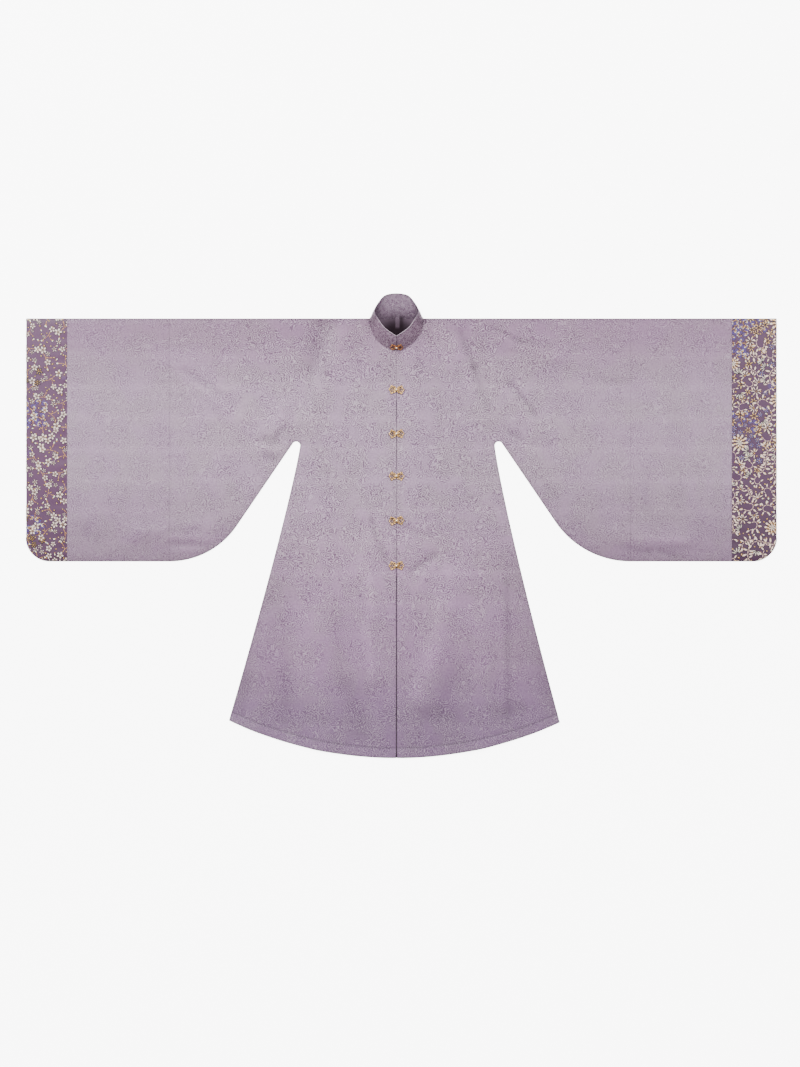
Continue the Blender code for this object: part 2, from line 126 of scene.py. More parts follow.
CREASES = tuple(Fold(*row) for row in (
    (-196, 16, -224, 140, 26, -3.0), (-140, 44, -150, 150, 16, 1.3), (-232, 190, -214, 250, 12, -1.2),
    (120, 46, 140, 128, 17, 1.7), (172, 40, 208, 132, 10, -3.6), (208, 132, 238, 236, 9, -3.2),
    (150, 60, 196, 190, 9, 1.2), (252, 120, 268, 236, 11, 1.1), (300, 172, 372, 262, 9, -3.6),
    (288, 196, 350, 284, 9, 1.0), (258, 30, 330, 62, 9, -2.6), (330, 62, 420, 74, 8, -2.4),
    (300, 76, 436, 104, 9, 1.0), (398, 130, 470, 140, 12, -0.9), (540, 166, 605, 176, 13, -1.6),
    (-566, 136, -500, 180, 7, -2.6), (-500, 180, -428, 232, 7, -2.3), (-570, 158, -470, 226, 8, 0.8),
    (-452, 250, -400, 268, 10, 0.9), (-350, 322, -322, 330, 12, -4.2), (-316, 312, -304, 300, 8, -3.0),
    (-352, 366, -300, 380, 11, -3.6), (-336, 344, -296, 352, 7, 1.8), (-300, 290, -282, 306, 5, -1.4),
    (296, 304, 330, 322, 9, -2.8), (330, 338, 376, 356, 9, 1.1), (372, 420, 420, 470, 11, -0.9),
    (-404, 430, -446, 476, 12, -1.0), (-606, 566, -520, 562, 7, -1.7), (-600, 582, -486, 588, 6, 2.2),
    (-604, 598, -476, 604, 6, -2.2), (-590, 616, -480, 616, 5, 1.8), (-700, 600, -640, 590, 12, -1.0),
    (-830, 560, -800, 600, 16, -1.2), (596, 606, 672, 622, 10, -1.6), (672, 616, 790, 606, 10, -1.2),
    (640, 586, 760, 592, 9, 1.4), (700, 622, 740, 632, 7, -1.9), (664, 417, 668, 516, 13, -1.2),
    (742, 250, 748, 470, 16, -1.0), (-68, 540, -28, 646, 8, -3.4), (-50, 536, -12, 628, 6, 1.3),
    (96, 580, 24, 560, 8, -1.5), (104, 628, 36, 676, 9, -3.2), (104, 656, 52, 716, 9, 1.2),
    (66, 540, 120, 520, 8, -1.1), (-96, 690, -92, 790, 8, -1.2), (-72, 700, -60, 790, 10, 1.9),
    (-78, 830, -64, 960, 12, 2.1), (-128, 980, -92, 1104, 22, -2.4), (-60, 1040, -52, 1120, 10, 0.9),
    (128, 760, 96, 900, 24, 1.5), (96, 900, 50, 1010, 24, 1.9), (166, 930, 120, 1040, 24, -1.9),
    (76, 1056, 150, 1062, 22, -1.6), (294, 700, 298, 1076, 8, -2.6), (278, 760, 280, 1040, 8, 1.1),
    (280, 1050, 330, 1040, 20, -1.8), (196, 850, 190, 1000, 12, -1.2),
    (-296, 940, -294, 1070, 20, -2.4), (-250, 1058, -190, 1076, 14, -1.3),
    (-262, 780, -256, 1000, 13, 1.0), (-160, 760, -150, 990, 14, -1.2), (402, 900, 424, 1020, 16, -1.8),
    (-400, 960, -418, 1050, 14, -1.2), (-190, 420, -176, 540, 16, -0.7), (186, 400, 170, 520, 16, -0.7),
))
CREASE_EASE = 11 * MM
INNER_LIFT = 1.3 * MM

# The cloth ripples, its seams dip and pucker, its hem is turned, and the opening's edges roll down
RIPPLE_HEIGHT = 0.28 * MM
SEAM_DIP = 0.3 * MM
SEAM_DIP_SPREAD = 2.6 * MM
PUCKER_HEIGHT = 0.55 * MM
PUCKER_LENGTH = 31 * MM
PUCKER_REACH = 26 * MM
HEM_TURN = 27 * MM
HEM_RIDGE = 0.75 * MM
HEM_WAVE = 0.5 * MM
EDGE_ROLL = 1.5 * MM
EDGE_ROLL_SPREAD = 5 * MM

# The opening down the front, by depth in mm: half its width in mm, and how dark its painted shade is
Opening = namedtuple("Opening", "depth half_width shade")
OPENINGS = tuple(Opening(*row) for row in (
    (70, -0.15, 0.1), (110, -0.12, 0.25), (186, -0.12, 0.2), (206, 0.2, 0.6), (250, 0.4, 0.75),
    (296, -0.05, 0.45), (322, 0.2, 0.6), (370, 0.3, 0.65), (417, -0.12, 0.35), (480, 0.0, 0.45),
    (536, -0.12, 0.35), (600, 0.05, 0.5), (655, 0.1, 0.5), (690, 0.8, 0.85), (900, 1.0, 0.9),
    (1060, 1.1, 0.9), (1170, 1.5, 0.9),
))
OPENING_REACH = 9 * MM
OPENING_DEPTHS, OPENING_WIDTHS, OPENING_SHADES = zip(*OPENINGS)

# Painted light and shade: how much a millimetre of ridge lightens the cloth, or of trough darkens it,
# beside its real shading; and how much lighter the turned hem band is
FOLD_TONE = 0.012
CREASE_TONE = 0.06
HEM_TONE = 0.1

# How far the painted shade of a turned edge spreads, and the painted shade of the cloth's edge under the
# collar
TURNED_SPREAD = 2.4 * MM
NECK_EDGE_SHADE = 0.3

# Broad painted light and shade: the sleeves' lower parts and the flanks of the skirt are painted
# darker where they fall away from the light, the lip of the opening's right edge and the cloth round
# the collar's seam are painted lighter where they catch it, and the shoulder fold's edge, the
# wearer's left side and the outer part of the right sleeve are painted darker
Tone = namedtuple("Tone", "start full share")
SLEEVE_FALL = Tone(360 * MM, 660 * MM, -0.26)
FLANK_FALL = Tone(500 * MM, 720 * MM, -0.2)
FLANK_END = 1090 * MM
FLANK_SPREAD = 75 * MM
LIP = Tone(196 * MM, 420 * MM, 0.16)
NECK_RIM_TONE = 0.12
SHOULDER_EDGE_TONE = -0.12
FAR_SIDE = Tone(0, 130 * MM, -0.075)
NEAR_END = Tone(430 * MM, 640 * MM, -0.045)

# Soft patches of painted light and shade round the collar: side, place and half extents in mm, and share
Patch = namedtuple("Patch", "hand width depth across down share")
PATCHES = tuple(Patch(*row) for row in (
    (-1, 17, 125, 14, 46, -0.08), (-1, 76, 85, 26, 52, 0.05), (-1, 66, 165, 9, 34, -0.06),
    (-1, 215, 65, 55, 60, -0.04), (1, 59, 122, 11, 46, -0.08), (1, 106, 80, 30, 54, 0.05),
    (1, 28, 100, 12, 46, 0.03), (1, 168, 60, 26, 55, -0.045), (1, 140, 155, 26, 50, 0.03),
))

# The back: its neck edge tucks under the collar, its folds are a share of the front's, and its
# centre-back seam stands up beside the middle of the neck
BACK_NECK_DEPTH = 0.9 * MM
BACK_FOLD_SHARE = 0.12
NECK_STRIP_X = 2.5 * MM
NECK_STRIP_HEIGHT = 1.5 * MM

# Grid lines of the cloth, closer near an edge, and how near vertices are to be welded
NECK_ANGLES = tuple(range(5, 91, 5))
CHEST_ROWS = 78
FOLD_STEPS = 6
NOTCH_STEPS = 8
UNDERARM_ARC_STEPS = 20
HEM_STEPS = 13
FLANK_SPACING = 6.2 * MM
UNDERARM_SPACING = 9.92 * MM
CORNER_STEPS = 12
NEAR_EDGE = (0, 2.2 * MM, 4.6 * MM)
WELD = 0.02 * MM

# The collar band, from the centre back round to the front edge, in mm: seam point and rim point;
# then how far it bulges, puckers and creases, its grid, and the turned edge along its rim
Station = namedtuple("Station", "seam_x seam_y seam_z rim_x rim_y rim_z")
COLLAR_STATIONS = tuple(Station(*row) for row in (
    (0, -1.4, 1.1, 0, 62.6, 26), (28, -1.4, 1.2, 30, 57.0, 28), (54, -1.2, 1.5, 47.5, 37, 36),
    (67.5, 1.2, 2.9, 57.5, 17.5, 44), (71.6, -1.0, 5.2, 55, 4, 46), (70.6, -14, 5.3, 47, -10, 46),
    (62, -40, 5.3, 37.5, -24, 44), (42, -66.5, 5.3, 27, -34, 42), (20, -79.6, 5.3, 13, -44, 40),
    (0.5, -83.2, 5.3, 0.5, -51, 38),
))
COLLAR_BULGE = 3.0 * MM
COLLAR_PUCKER = 0.35 * MM
COLLAR_CREASE = 0.5 * MM
COLLAR_STEPS_PER_STATION = 10
COLLAR_STEPS = (len(COLLAR_STATIONS) - 1) * COLLAR_STEPS_PER_STATION
COLLAR_ROWS = 18
PIPING_RADIUS = 0.6 * MM
PIPING_LIFT = 0.2 * MM

# The front clasps, with how many degrees each is turned, and the painted shadow under them; then
# the collar clasp's size as a share of theirs, its place up the band and how far it stands off
Clasp = namedtuple("Clasp", "number depth turn")
FRONT_CLASPS = (
    Clasp(2, 190 * MM, -3), Clasp(3, 307.5 * MM, 2), Clasp(4, 420 * MM, -1), Clasp(5, 538.5 * MM, 4),
    Clasp(6, 658 * MM, 1),
)
COLLAR_CLASP_SCALE = 0.86
CLASP_SHADE = 0.5
CLASP_SHADE_WIDTH = 10 * MM
CLASP_SHADE_DEPTH = 9 * MM
COLLAR_CLASP_HEIGHT = 0.22
COLLAR_CLASP_LIFT = 0.85 * MM

# The photograph's frame
IMAGE_WIDTH, IMAGE_HEIGHT = 800, 1067
PIXEL_SIZE = 2.663 * MM
CENTRE_FRONT_PIXEL = 396.5
SHOULDER_PIXEL = 318.5
CAMERA_DISTANCE = 4.0
SENSOR = 36.0

# The stage: how bright the floor and the room are, and the two soft lights
FLOOR_GLOW = 7.0
ROOM_LIGHT = 0.45
Lamp = namedtuple("Lamp", "name place size power")
LIGHTS = (
    Lamp("key_light", (-3.2, 3.6, 5.6), 4.6, 760),
    Lamp("fill_light", (3.4, 2.4, 5.6), 3.6, 300),
)


def linear(hex_colour):
    """An sRGB hex colour as linear red, green, blue and alpha."""
    channels = [int(hex_colour[i:i + 2], 16) / 255 for i in (1, 3, 5)]
    return tuple(c / 12.92 if c <= 0.04045 else ((c + 0.055) / 1.055) ** 2.4 for c in channels) + (1.0,)


def colour_setting(name, description, hex_colour):
    """A colour that a user can change."""
    return FloatVectorProperty(name=name, description=description, subtype="COLOR", size=4,
                               min=0, max=1, default=linear(hex_colour))


def size_setting(name, description, size, least, most):
    """A size in mm that a user can change."""
    return FloatProperty(name=name, description=description, unit="LENGTH",
                         default=size * MM, min=least * MM, max=most * MM)


class CoatClothSettings(bpy.types.PropertyGroup):
    """Sizes and colours of the damask."""
    wall: size_setting("Cloth wall", "Thickness of the cloth with its backing", 1.0, 0.2, 3)
    grid: size_setting("Grid", "Spacing of the cloth's grid lines", 6.2, 5, 30)
    fold_share: FloatProperty(name="Folds", description="Height of all folds and creases as a share",
                              default=1.0, min=0, max=1.5, subtype="FACTOR")
    shoulder: colour_setting("Shoulder", "Damask along the shoulder fold", "#957A93")
    chest: colour_setting("Chest", "Damask of the chest and the middle of the sleeves", "#AE9AAD")
    waist: colour_setting("Waist", "Damask of the waist", "#AB92AA")
    skirt: colour_setting("Skirt", "Damask of the upper skirt", "#9B819C")
    hem: colour_setting("Hem", "Damask near the hem", "#836D88")
    inside: colour_setting("Inside", "Wrong side of the damask", "#957F92")
    medallion: size_setting("Medallion", "Diameter of the woven medallions", 73, 20, 200)
    across: size_setting("Repeat across", "Medallions from centre to centre in a row", 114.5, 40, 400)
    down: size_setting("Repeat down", "Two rows of medallions, which are offset by half", 165, 40, 400)


class CoatBandSettings(bpy.types.PropertyGroup):
    """Colours and relief of the brocade bands."""
    right_ground: colour_setting("Right ground", "Ground of the wearer's right band", "#5A3357")
    left_ground: colour_setting("Left ground", "Ground of the wearer's left band", "#502D4E")
    cream: colour_setting("Cream silk", "Petals and leaf veins", "#FFF6E2")
    gold: colour_setting("Gold silk", "Twigs, buds and seeds", "#E8AC50")
    violet: colour_setting("Violet silk", "Blue-violet accents", "#5548A6")
    brown: colour_setting("Brown silk", "Dark outlines and leaves", "#2E1B22")
    grey: colour_setting("Grey silk", "Shaded petals", "#D8BCBC")
    beige: colour_setting("Beige silk", "Leaves", "#F3CDC0")
    thread_height: size_setting("Relief", "Height of the figure above the ground", 0.35, 0.1, 1)


class CoatTrimSettings(bpy.types.PropertyGroup):
    """The collar's colours, the clasps' metal and the sewing."""
    collar: colour_setting("Collar", "Outside of the collar band", "#9C8497")
    collar_inside: colour_setting("Collar inside", "Inside of the collar at the back", "#A08A9E")
    # Painted shade: the colour that the neck and the opening are painted down to
    painted_neck_shade: colour_setting("Neck", "Where the neck goes into the coat", "#1A0D16")
    gilt: colour_setting("Gilt", "Gilt brass of the front clasps", "#F0C684")
    copper: colour_setting("Copper", "Coppered brass of the collar clasp", "#D99A66")
    wire: size_setting("Wire", "Radius of the clasps' outer wire", 1.3, 0.3, 2)
    ball: size_setting("Ball", "Radius of the stud's ball", 3.5, 1, 6)
    thread: colour_setting("Sewing thread", "Hand stitches", "#9A8A9E")
    stitch: size_setting("Stitch", "Length of a hand stitch", 3, 1, 10)
    stitch_spacing: size_setting("Stitches apart", "From one stitch to the next", 9, 3, 40)
    lobes: IntProperty(name="Lobes", description="Lobes of each clasp half", default=5, min=3, max=9)


def smooth(value):
    """Ease from 0 to 1."""
    value = np.clip(value, 0.0, 1.0)
    return value * value * (3 - 2 * value)


def bell(distance, spread):
    """1 at no distance, falling smoothly away."""
    return np.exp(-(distance / spread) ** 2)


def world(side, width, depth, height):
    """World coordinates of plan arrays on one side."""
    return (LAY_X + side.hand * width, LAY_Y - depth, height)


def arc(centre_x, centre_depth, radius, start, end, steps, outwards):
    """Rows of width, depth and outward normal on an arc; angles run from straight up."""
    angle = np.linspace(start, end, steps + 1)
    away = np.column_stack((np.sin(angle), -np.cos(angle)))
    return np.hstack((np.array((centre_x, centre_depth)) + radius * away, outwards * away))


def inset(chain):
    """The end of the flat layer, inside an edge that is folded or seamed."""
    moved = chain.copy()
    moved[:, :2] -= EDGE_REACH * chain[:, 2:]
    return moved


def crowded(reach, spacing, crowd_start=True, crowd_end=True):
    """Shares from 0 to 1 of a reach, about evenly spaced, with close lines next to its edges."""
    shares = np.linspace(0, 1, max(round(reach / spacing), 4) + 1)
    near = np.array(NEAR_EDGE) / reach
    start = near if crowd_start else shares[:1]
    end = 1 - near[::-1] if crowd_end else shares[-1:]
    inner = shares[(shares > start[-1] + near[1]) & (shares < end[0] - near[1])]
    return np.concatenate((start, inner, end))


def hem_depth(x):
    """Depth of the curved hem at a width."""
    return HEM_CENTRE_DEPTH - HEM_RADIUS + np.sqrt(HEM_RADIUS ** 2 - x ** 2)


def side_width(side, depth):
    """Half width of the body at a depth below the armpit."""
    share = (depth - ARMPIT_CENTRE) / (hem_depth(side.hem_corner) - ARMPIT_CENTRE)
    return side.side_top + (side.hem_corner - side.side_top) * np.clip(share, 0, None) ** side.side_bow


@lru_cache
def underarm_chain(side):
    """From the armpit along the sloping underarm and its arc to the sleeve seam."""
    notch = arc(side.armpit, ARMPIT_CENTRE, ARMPIT_RADIUS, 0, UNDERARM_ANGLE, NOTCH_STEPS, -1)
    corner_x = notch[-1, 0] + (SLEEVE_DEPTH - notch[-1, 1]) / math.tan(UNDERARM_ANGLE)
    radius = (side.sleeve_seam - corner_x) / math.tan(UNDERARM_ANGLE / 2)
    curve = arc(side.sleeve_seam, SLEEVE_DEPTH - radius, radius,
                math.pi + UNDERARM_ANGLE, math.pi, UNDERARM_ARC_STEPS, 1)
    near = math.pi + np.array(NEAR_EDGE[:0:-1]) / radius
    close = arc(side.sleeve_seam, SLEEVE_DEPTH - radius, radius, near[0], near[1], 1, 1)
    length = np.hypot(*(curve[0, :2] - notch[-1, :2]))
    slope = np.linspace(notch[-1], curve[0], round(length / UNDERARM_SPACING) + 1)[1:-1]
    chain = np.vstack((notch, slope, curve[:-1], close, curve[-1:]))
    chain[-1, 0] = side.sleeve_seam
    return chain


@lru_cache
def flank_chain(side):
    """From the armpit down the side seam to the hem, with close rows over the turned hem."""
    notch = arc(side.armpit, ARMPIT_CENTRE, ARMPIT_RADIUS, 0, -math.pi / 2, NOTCH_STEPS, -1)
    bottom = hem_depth(side.hem_corner)
    turn = bottom - HEM_TURN - 5 * MM
    steps = round((turn - ARMPIT_CENTRE) / FLANK_SPACING)
    rows = np.linspace(ARMPIT_CENTRE, turn, steps + 1)[1:]
    depth = np.concatenate((rows, np.linspace(turn, bottom, HEM_STEPS + 1)[1:]))
    width = side_width(side, depth)
    slope = (side_width(side, depth + MM) - width) / MM
    length = np.hypot(1, slope)
    return np.vstack((notch, np.column_stack((width, depth, 1 / length, -slope / length))))


def tube_chain(side, name, spacing):
    """The lower edge of a sleeve extension, or of a band with its rounded corner."""
    if name == "sleeve":
        start, end = side.sleeve_seam, side.cuff_seam
        x = start + (end - start) * crowded(end - start, spacing)
        return np.column_stack((x, np.full(x.shape, SLEEVE_DEPTH), np.zeros(x.shape), np.ones(x.shape)))
    start, end = side.cuff_seam, side.sleeve_end - CUFF_CORNER_RADIUS
    x = start + (end - start) * crowded(end - start, spacing, crowd_end=False)
    line = np.column_stack((x, np.full(x.shape, SLEEVE_DEPTH), np.zeros(x.shape), np.ones(x.shape)))
    corner = arc(end, SLEEVE_DEPTH - CUFF_CORNER_RADIUS, CUFF_CORNER_RADIUS,
                 math.pi, math.pi / 2, CORNER_STEPS, 1)
    corner[-1, 3] = 0
    return np.vstack((line, corner[1:]))


def line_distance(x, depth, start_x, start_depth, end_x, end_depth):
    """Distance from plan points to a straight run between two others."""
    run_x, run_depth = end_x - start_x, end_depth - start_depth
    along = ((x - start_x) * run_x + (depth - start_depth) * run_depth) / (run_x ** 2 + run_depth ** 2)
    near = np.clip(along, 0.0, 1.0)
    return np.hypot(x - start_x - near * run_x, depth - start_depth - near * run_depth)


def closed_edge_distance(side, width, depth):
    """Distance to the nearest folded or seamed edge, or to the neck."""
    nearest = np.array(depth, float)
    outline = np.vstack((underarm_chain(side)[::-1], flank_chain(side)[1:]))
    for start, end in zip(outline, outline[1:]):
        nearest = np.minimum(nearest, line_distance(width, depth, *start[:2], *end[:2]))
    lower = np.where(width > side.sleeve_seam, SLEEVE_DEPTH - depth, np.inf)
    neck = np.hypot(width / NECK_HALF_WIDTH, depth / NECK_DEPTH) - 1
    return np.minimum(np.minimum(nearest, lower), np.maximum(neck, 0) * NECK_HALF_WIDTH)


def raised(folds, x, depth):
    """Height that a table of ridges and troughs adds."""
    total = np.zeros(x.shape)
    for fold in folds:
        gap = line_distance(x / MM, depth / MM, fold.start_x, fold.start_depth, fold.end_x, fold.end_depth)
        total += fold.height * MM * bell(gap, fold.spread)
    return total


def seam_gap(side, width):
    """Distance across to the nearer of the two upright sleeve seams."""
    return np.minimum(np.abs(width - side.sleeve_seam), np.abs(width - side.cuff_seam))


def front_height(side, width, depth):
    """Height of the front layer's middle, with its folds, creases, puckers and turned edges."""
    share = bpy.context.scene.coat_cloth.fold_share
    x = side.hand * width
    closed = closed_edge_distance(side, width, depth) - EDGE_REACH
    ease = smooth(closed / FOLD_EASE) * smooth((width - PLACKET_HALF) / FOLD_EASE)
    near = smooth(closed / CREASE_EASE)
    height = FRONT_HEIGHT + share * ease * raised(FOLDS, x, depth)
    height += near * share * raised(CREASES, x, depth)
    height += near * INNER_LIFT * smooth(width / FOLD_EASE)
    along = np.sin(depth / (43 * MM) + x / (160 * MM))
    ripple = np.sin(x / (37 * MM) + 2 * np.sin(depth / (91 * MM))) * along
    height += RIPPLE_HEIGHT * near * share * ripple
    across = seam_gap(side, width)
    wave = np.sin(2 * math.pi * depth / PUCKER_LENGTH + 1.7 * np.sin(depth / (83 * MM)) + side.hand)
    height += near * PUCKER_HEIGHT * wave * np.exp(-across / PUCKER_REACH) * smooth(across / (4 * MM))
    height -= near * SEAM_DIP * bell(across, SEAM_DIP_SPREAD)
    above_hem = hem_depth(np.minimum(width, side.hem_corner)) - depth
    body = width < side.hem_corner + 10 * MM
    turned = np.where(body, smooth((HEM_TURN - above_hem) / (3 * MM)), 0)
    hem_wave = 0.5 + 0.5 * np.sin(x / (17 * MM) + 1.4 * np.sin(x / (61 * MM)))
    height += near * turned * (HEM_RIDGE + HEM_WAVE * hem_wave * smooth(above_hem / (14 * MM)))
    height -= EDGE_ROLL * bell(width, EDGE_ROLL_SPREAD) * smooth((depth - 60 * MM) / (60 * MM))
    return height


def opened(width, depth):
    """Width of a front point once the edges of the opening have rolled apart."""
    half = np.interp(depth / MM, OPENING_DEPTHS, OPENING_WIDTHS) * MM
    return width + half * np.exp(-width / OPENING_REACH)


def written(name, bm):
    """A new mesh from a bmesh, which is then done with."""
    mesh = bpy.data.meshes.new(name)
    bm.to_mesh(mesh)
    bm.free()
    return mesh


def points_of(mesh):
    """A mesh's vertices as an array."""
    flat = np.empty(len(mesh.vertices) * 3, np.float32)
    mesh.vertices.foreach_get("co", flat)
    return flat.reshape(-1, 3).astype(float)


def set_points(mesh, x, y, z):
    """Move a mesh's vertices to new places."""
    placed = np.column_stack(np.broadcast_arrays(x, y, z))
    mesh.vertices.foreach_set("co", placed.astype(np.float32).ravel())


def add_grid(bm, columns, rows, point):
    """Add a grid of cloth whose vertices in columns i and rows j lie at point(i, j)."""
    strip = bmesh.new()
    bmesh.ops.create_grid(strip, x_segments=columns - 1, y_segments=rows - 1, size=0.5)
    mesh = written("strip", strip)
    share = points_of(mesh) + 0.5
    column = np.rint(share[:, 0] * (columns - 1)).astype(int)
    row = np.rint(share[:, 1] * (rows - 1)).astype(int)
    set_points(mesh, *point(column, row))
    bm.from_mesh(mesh)
    bpy.data.meshes.remove(mesh)


def add_copy(bm, mesh, placing):
    """Add a copy of a mesh, placed by a matrix."""
    start = len(bm.verts)
    bm.from_mesh(mesh)
    bm.verts.ensure_lookup_table()
    bmesh.ops.transform(bm, matrix=placing, verts=bm.verts[start:])


def placed_at(place, turn, size=(1, 1, 1, 1)):
    """A matrix that sizes, then turns about the vertical, then moves to a place."""
    return Matrix.Translation(place) @ Matrix.Rotation(turn, 4, "Z") @ Matrix.Diagonal(size)


def close_ends(bm):
    """Weld a piece's wires and cap their open ends."""
    bmesh.ops.remove_doubles(bm, verts=bm.verts, dist=WELD)
    bmesh.ops.holes_fill(bm, edges=[edge for edge in bm.edges if edge.is_boundary], sides=0)


def add_edge_strip(bm, side, chain):
    """The half-round turn of cloth that joins the front layer to the back layer along an edge."""
    def point(column, row):
        edge = chain[column]
        angle = math.pi * row / FOLD_STEPS
        reach = FOLD_RADIUS * np.sin(angle)
        return world(side, edge[:, 0] + reach * edge[:, 2], edge[:, 1] + reach * edge[:, 3],
                     BACK_HEIGHT + FOLD_RADIUS * (1 + np.cos(angle)))
    add_grid(bm, len(chain), FOLD_STEPS + 1, point)


def add_layers(bm, side, columns, rows, plan):
    """A front and a back layer whose plan position in column i and row j is plan(i, j, layer)."""
    def front(column, row):
        width, depth = plan(column, row, "front")
        return world(side, opened(width, depth), depth, front_height(side, width, depth))

    def back(column, row):
        width, depth = plan(column, row, "back")
        aside = side.hand * width - NECK_STRIP_X
        seam = NECK_STRIP_HEIGHT * bell(aside, 4 * MM) * smooth((34 * MM - depth) / (12 * MM))
        waves = BACK_FOLD_SHARE * raised(FOLDS, side.hand * width, depth)
        ease = smooth((closed_edge_distance(side, width, depth) - EDGE_REACH) / FOLD_EASE)
        return world(side, width, depth, BACK_HEIGHT + seam + ease * waves)

    add_grid(bm, columns, rows, front)
    add_grid(bm, columns, rows, back)


def set_attribute(mesh, name, values):
    """Keep one number for each vertex, for the materials."""
    attribute = mesh.attributes.new(name, "FLOAT", "POINT")
    attribute.data.foreach_set("value", np.asarray(values, np.float32))


def finish_piece(name, bm, materials, node=None):
    """Write a bmesh to an object that rides with the coat and stands for its node."""
    mesh = written(name, bm)
    mesh.shade_smooth()
    for material in materials:
        mesh.materials.append(material)
    piece = bpy.data.objects.new(name, mesh)
    bpy.context.scene.collection.objects.link(piece)
    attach(piece, "root")
    if node:
        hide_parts(node)
    return piece


def finish_cloth(name, bm, materials, node, shades):
    """Weld the strips of a cloth piece into one sheet, give it its painted shade and light, and its
    thickness.
    """
    bmesh.ops.remove_doubles(bm, verts=bm.verts, dist=WELD)
    bmesh.ops.recalc_face_normals(bm, faces=bm.faces)
    for edge in bm.edges:
        edge.smooth = not edge.is_boundary
    piece = finish_piece(name, bm, materials, node)
    points = points_of(piece.data)
    for attribute, values in shades.items():
        set_attribute(piece.data, attribute, values(points))
    wall = piece.modifiers.new("wall", "SOLIDIFY")
    wall.thickness = bpy.context.scene.coat_cloth.wall
    wall.offset = 0
    wall.use_even_offset = True
    wall.material_offset = 1
    return piece


def broad_painted_light(side, width, depth):
    """Slow changes of painted light and shade over one side, as shares of the cloth's colour."""
    def reached(tone, place):
        return tone.share * smooth((place - tone.start) / (tone.full - tone.start))

    sleeve = reached(SLEEVE_FALL, depth) * smooth((width - side.side_top) / (110 * MM))
    sleeve *= (depth < SLEEVE_DEPTH + MM) * smooth((width - side_width(side, depth)) / (30 * MM))
    from_flank = side_width(side, np.clip(depth, ARMPIT_DEPTH, None)) - width
    flank = reached(FLANK_FALL, depth) * smooth((FLANK_END - depth) / (150 * MM))
    flank *= bell(from_flank, FLANK_SPREAD)
    flank = np.where(from_flank > -12 * MM, flank, 0)
    along = bell(depth - (LIP.start + LIP.full) / 2, (LIP.full - LIP.start) / 2)
    lip = LIP.share * along * bell(width - 3.4 * MM, 1.6 * MM) if side.hand < 0 else 0
    outside = (np.hypot(width / NECK_HALF_WIDTH, depth / NECK_DEPTH) - 1) * NECK_HALF_WIDTH
    rim = NECK_RIM_TONE * bell(outside - 3 * MM, 3 * MM) * smooth((depth - 20 * MM) / (20 * MM))
    edge = SHOULDER_EDGE_TONE * bell(depth, 20 * MM)
    aside = reached(FAR_SIDE if side.hand > 0 else NEAR_END, width) * smooth(depth / (150 * MM))
    patches = sum(patch.share * bell(np.hypot((width / MM - patch.width) / patch.across,
                                              (depth / MM - patch.depth) / patch.down), 1)
                  for patch in PATCHES if patch.hand == side.hand)
    return sleeve + flank + lip + rim + edge + aside + patches


def edge_shade(side, width, depth, closed, above_hem, on_body):
    """How dark the painted shade of one side's turned edges, seams, openings, hem, neck and the cloth under
    its clasps is, from 0 to 1.
    """
    seam = 0.2 * bell(seam_gap(side, width), 1.6 * MM)
    turned = 0.85 * bell(np.maximum(closed, 0), TURNED_SPREAD)
    slit_painted_shade = np.interp(depth / MM, OPENING_DEPTHS, OPENING_SHADES) * bell(np.maximum(width, 0), 1.7 * MM)
    hem = 0.7 * bell(above_hem, TURNED_SPREAD) + 0.45 * bell(above_hem - HEM_TURN, 2.6 * MM)
    end = 0.6 * bell(side.sleeve_end - width, TURNED_SPREAD)
    below = np.maximum.reduce([
        bell(np.hypot((width - RING_X) / CLASP_SHADE_WIDTH, (depth - clasp.depth) / CLASP_SHADE_DEPTH), 1)
        for clasp in FRONT_CLASPS])
    shades = (seam, turned, slit_painted_shade, np.where(on_body, hem, 0), end, CLASP_SHADE * below)
    outside_neck = np.hypot(width / NECK_HALF_WIDTH, depth / NECK_DEPTH) > 1.02
    return np.where(outside_neck, np.maximum.reduce(shades), NECK_EDGE_SHADE)


def fold_tone(side, width, depth, closed, above_hem, on_body):
    """Shares by which one side is lighter or darker than its colour: painted light and shade at folds and
    broadly, and a lighter turned hem.
    """
    hem = HEM_TONE * np.where(on_body, smooth((HEM_TURN - above_hem) / (4 * MM)), 0)
    folds = FOLD_TONE * raised(FOLDS, side.hand * width, depth)
    creases = CREASE_TONE * raised(CREASES, side.hand * width, depth)
    return hem + broad_painted_light(side, width, depth) + (folds + creases) / MM * smooth(closed / CREASE_EASE)


def cloth_shades(side):
    """The attributes of one side's cloth, each worked out from its vertices."""
    def values(shade, points):
        width, depth = side.hand * (points[:, 0] - LAY_X), LAY_Y - points[:, 1]
        above_hem = hem_depth(np.clip(width, 0, side.hem_corner)) - depth
        closed = closed_edge_distance(side, width, depth)
        return shade(side, width, depth, closed, above_hem, width < side.hem_corner + 12 * MM)

    return {"edge_shade": partial(values, edge_shade), "fold_tone": partial(values, fold_tone)}


def trunk_columns(side, spacing):
    """Widths of the trunk's grid lines at the chest: close at the opening, the neck and the side."""
    near = [SEAM_GAP / 2, 1.2 * MM, 2.4 * MM, 4 * MM]
    neck = [NECK_HALF_WIDTH * math.sin(math.radians(angle)) for angle in NECK_ANGLES]
    reach = side.armpit - NECK_HALF_WIDTH
    shoulder = NECK_HALF_WIDTH + reach * crowded(reach, spacing, crowd_start=False)[1:]
    return np.concatenate((near, neck, shoulder))


def neck_edge(width):
    """Depth of the front neckline at a width, or of the shoulder fold's end outside it."""
    inside = np.clip(1 - (width / NECK_HALF_WIDTH) ** 2, 0, 1)
    return np.maximum(NECK_DEPTH * np.sqrt(inside), EDGE_REACH)


def centred(width, column, layer):
    """The back's halves meet at their seam; the front's stop short of the opening."""
    return np.where(column == 0, 0, width) if layer == "back" else width


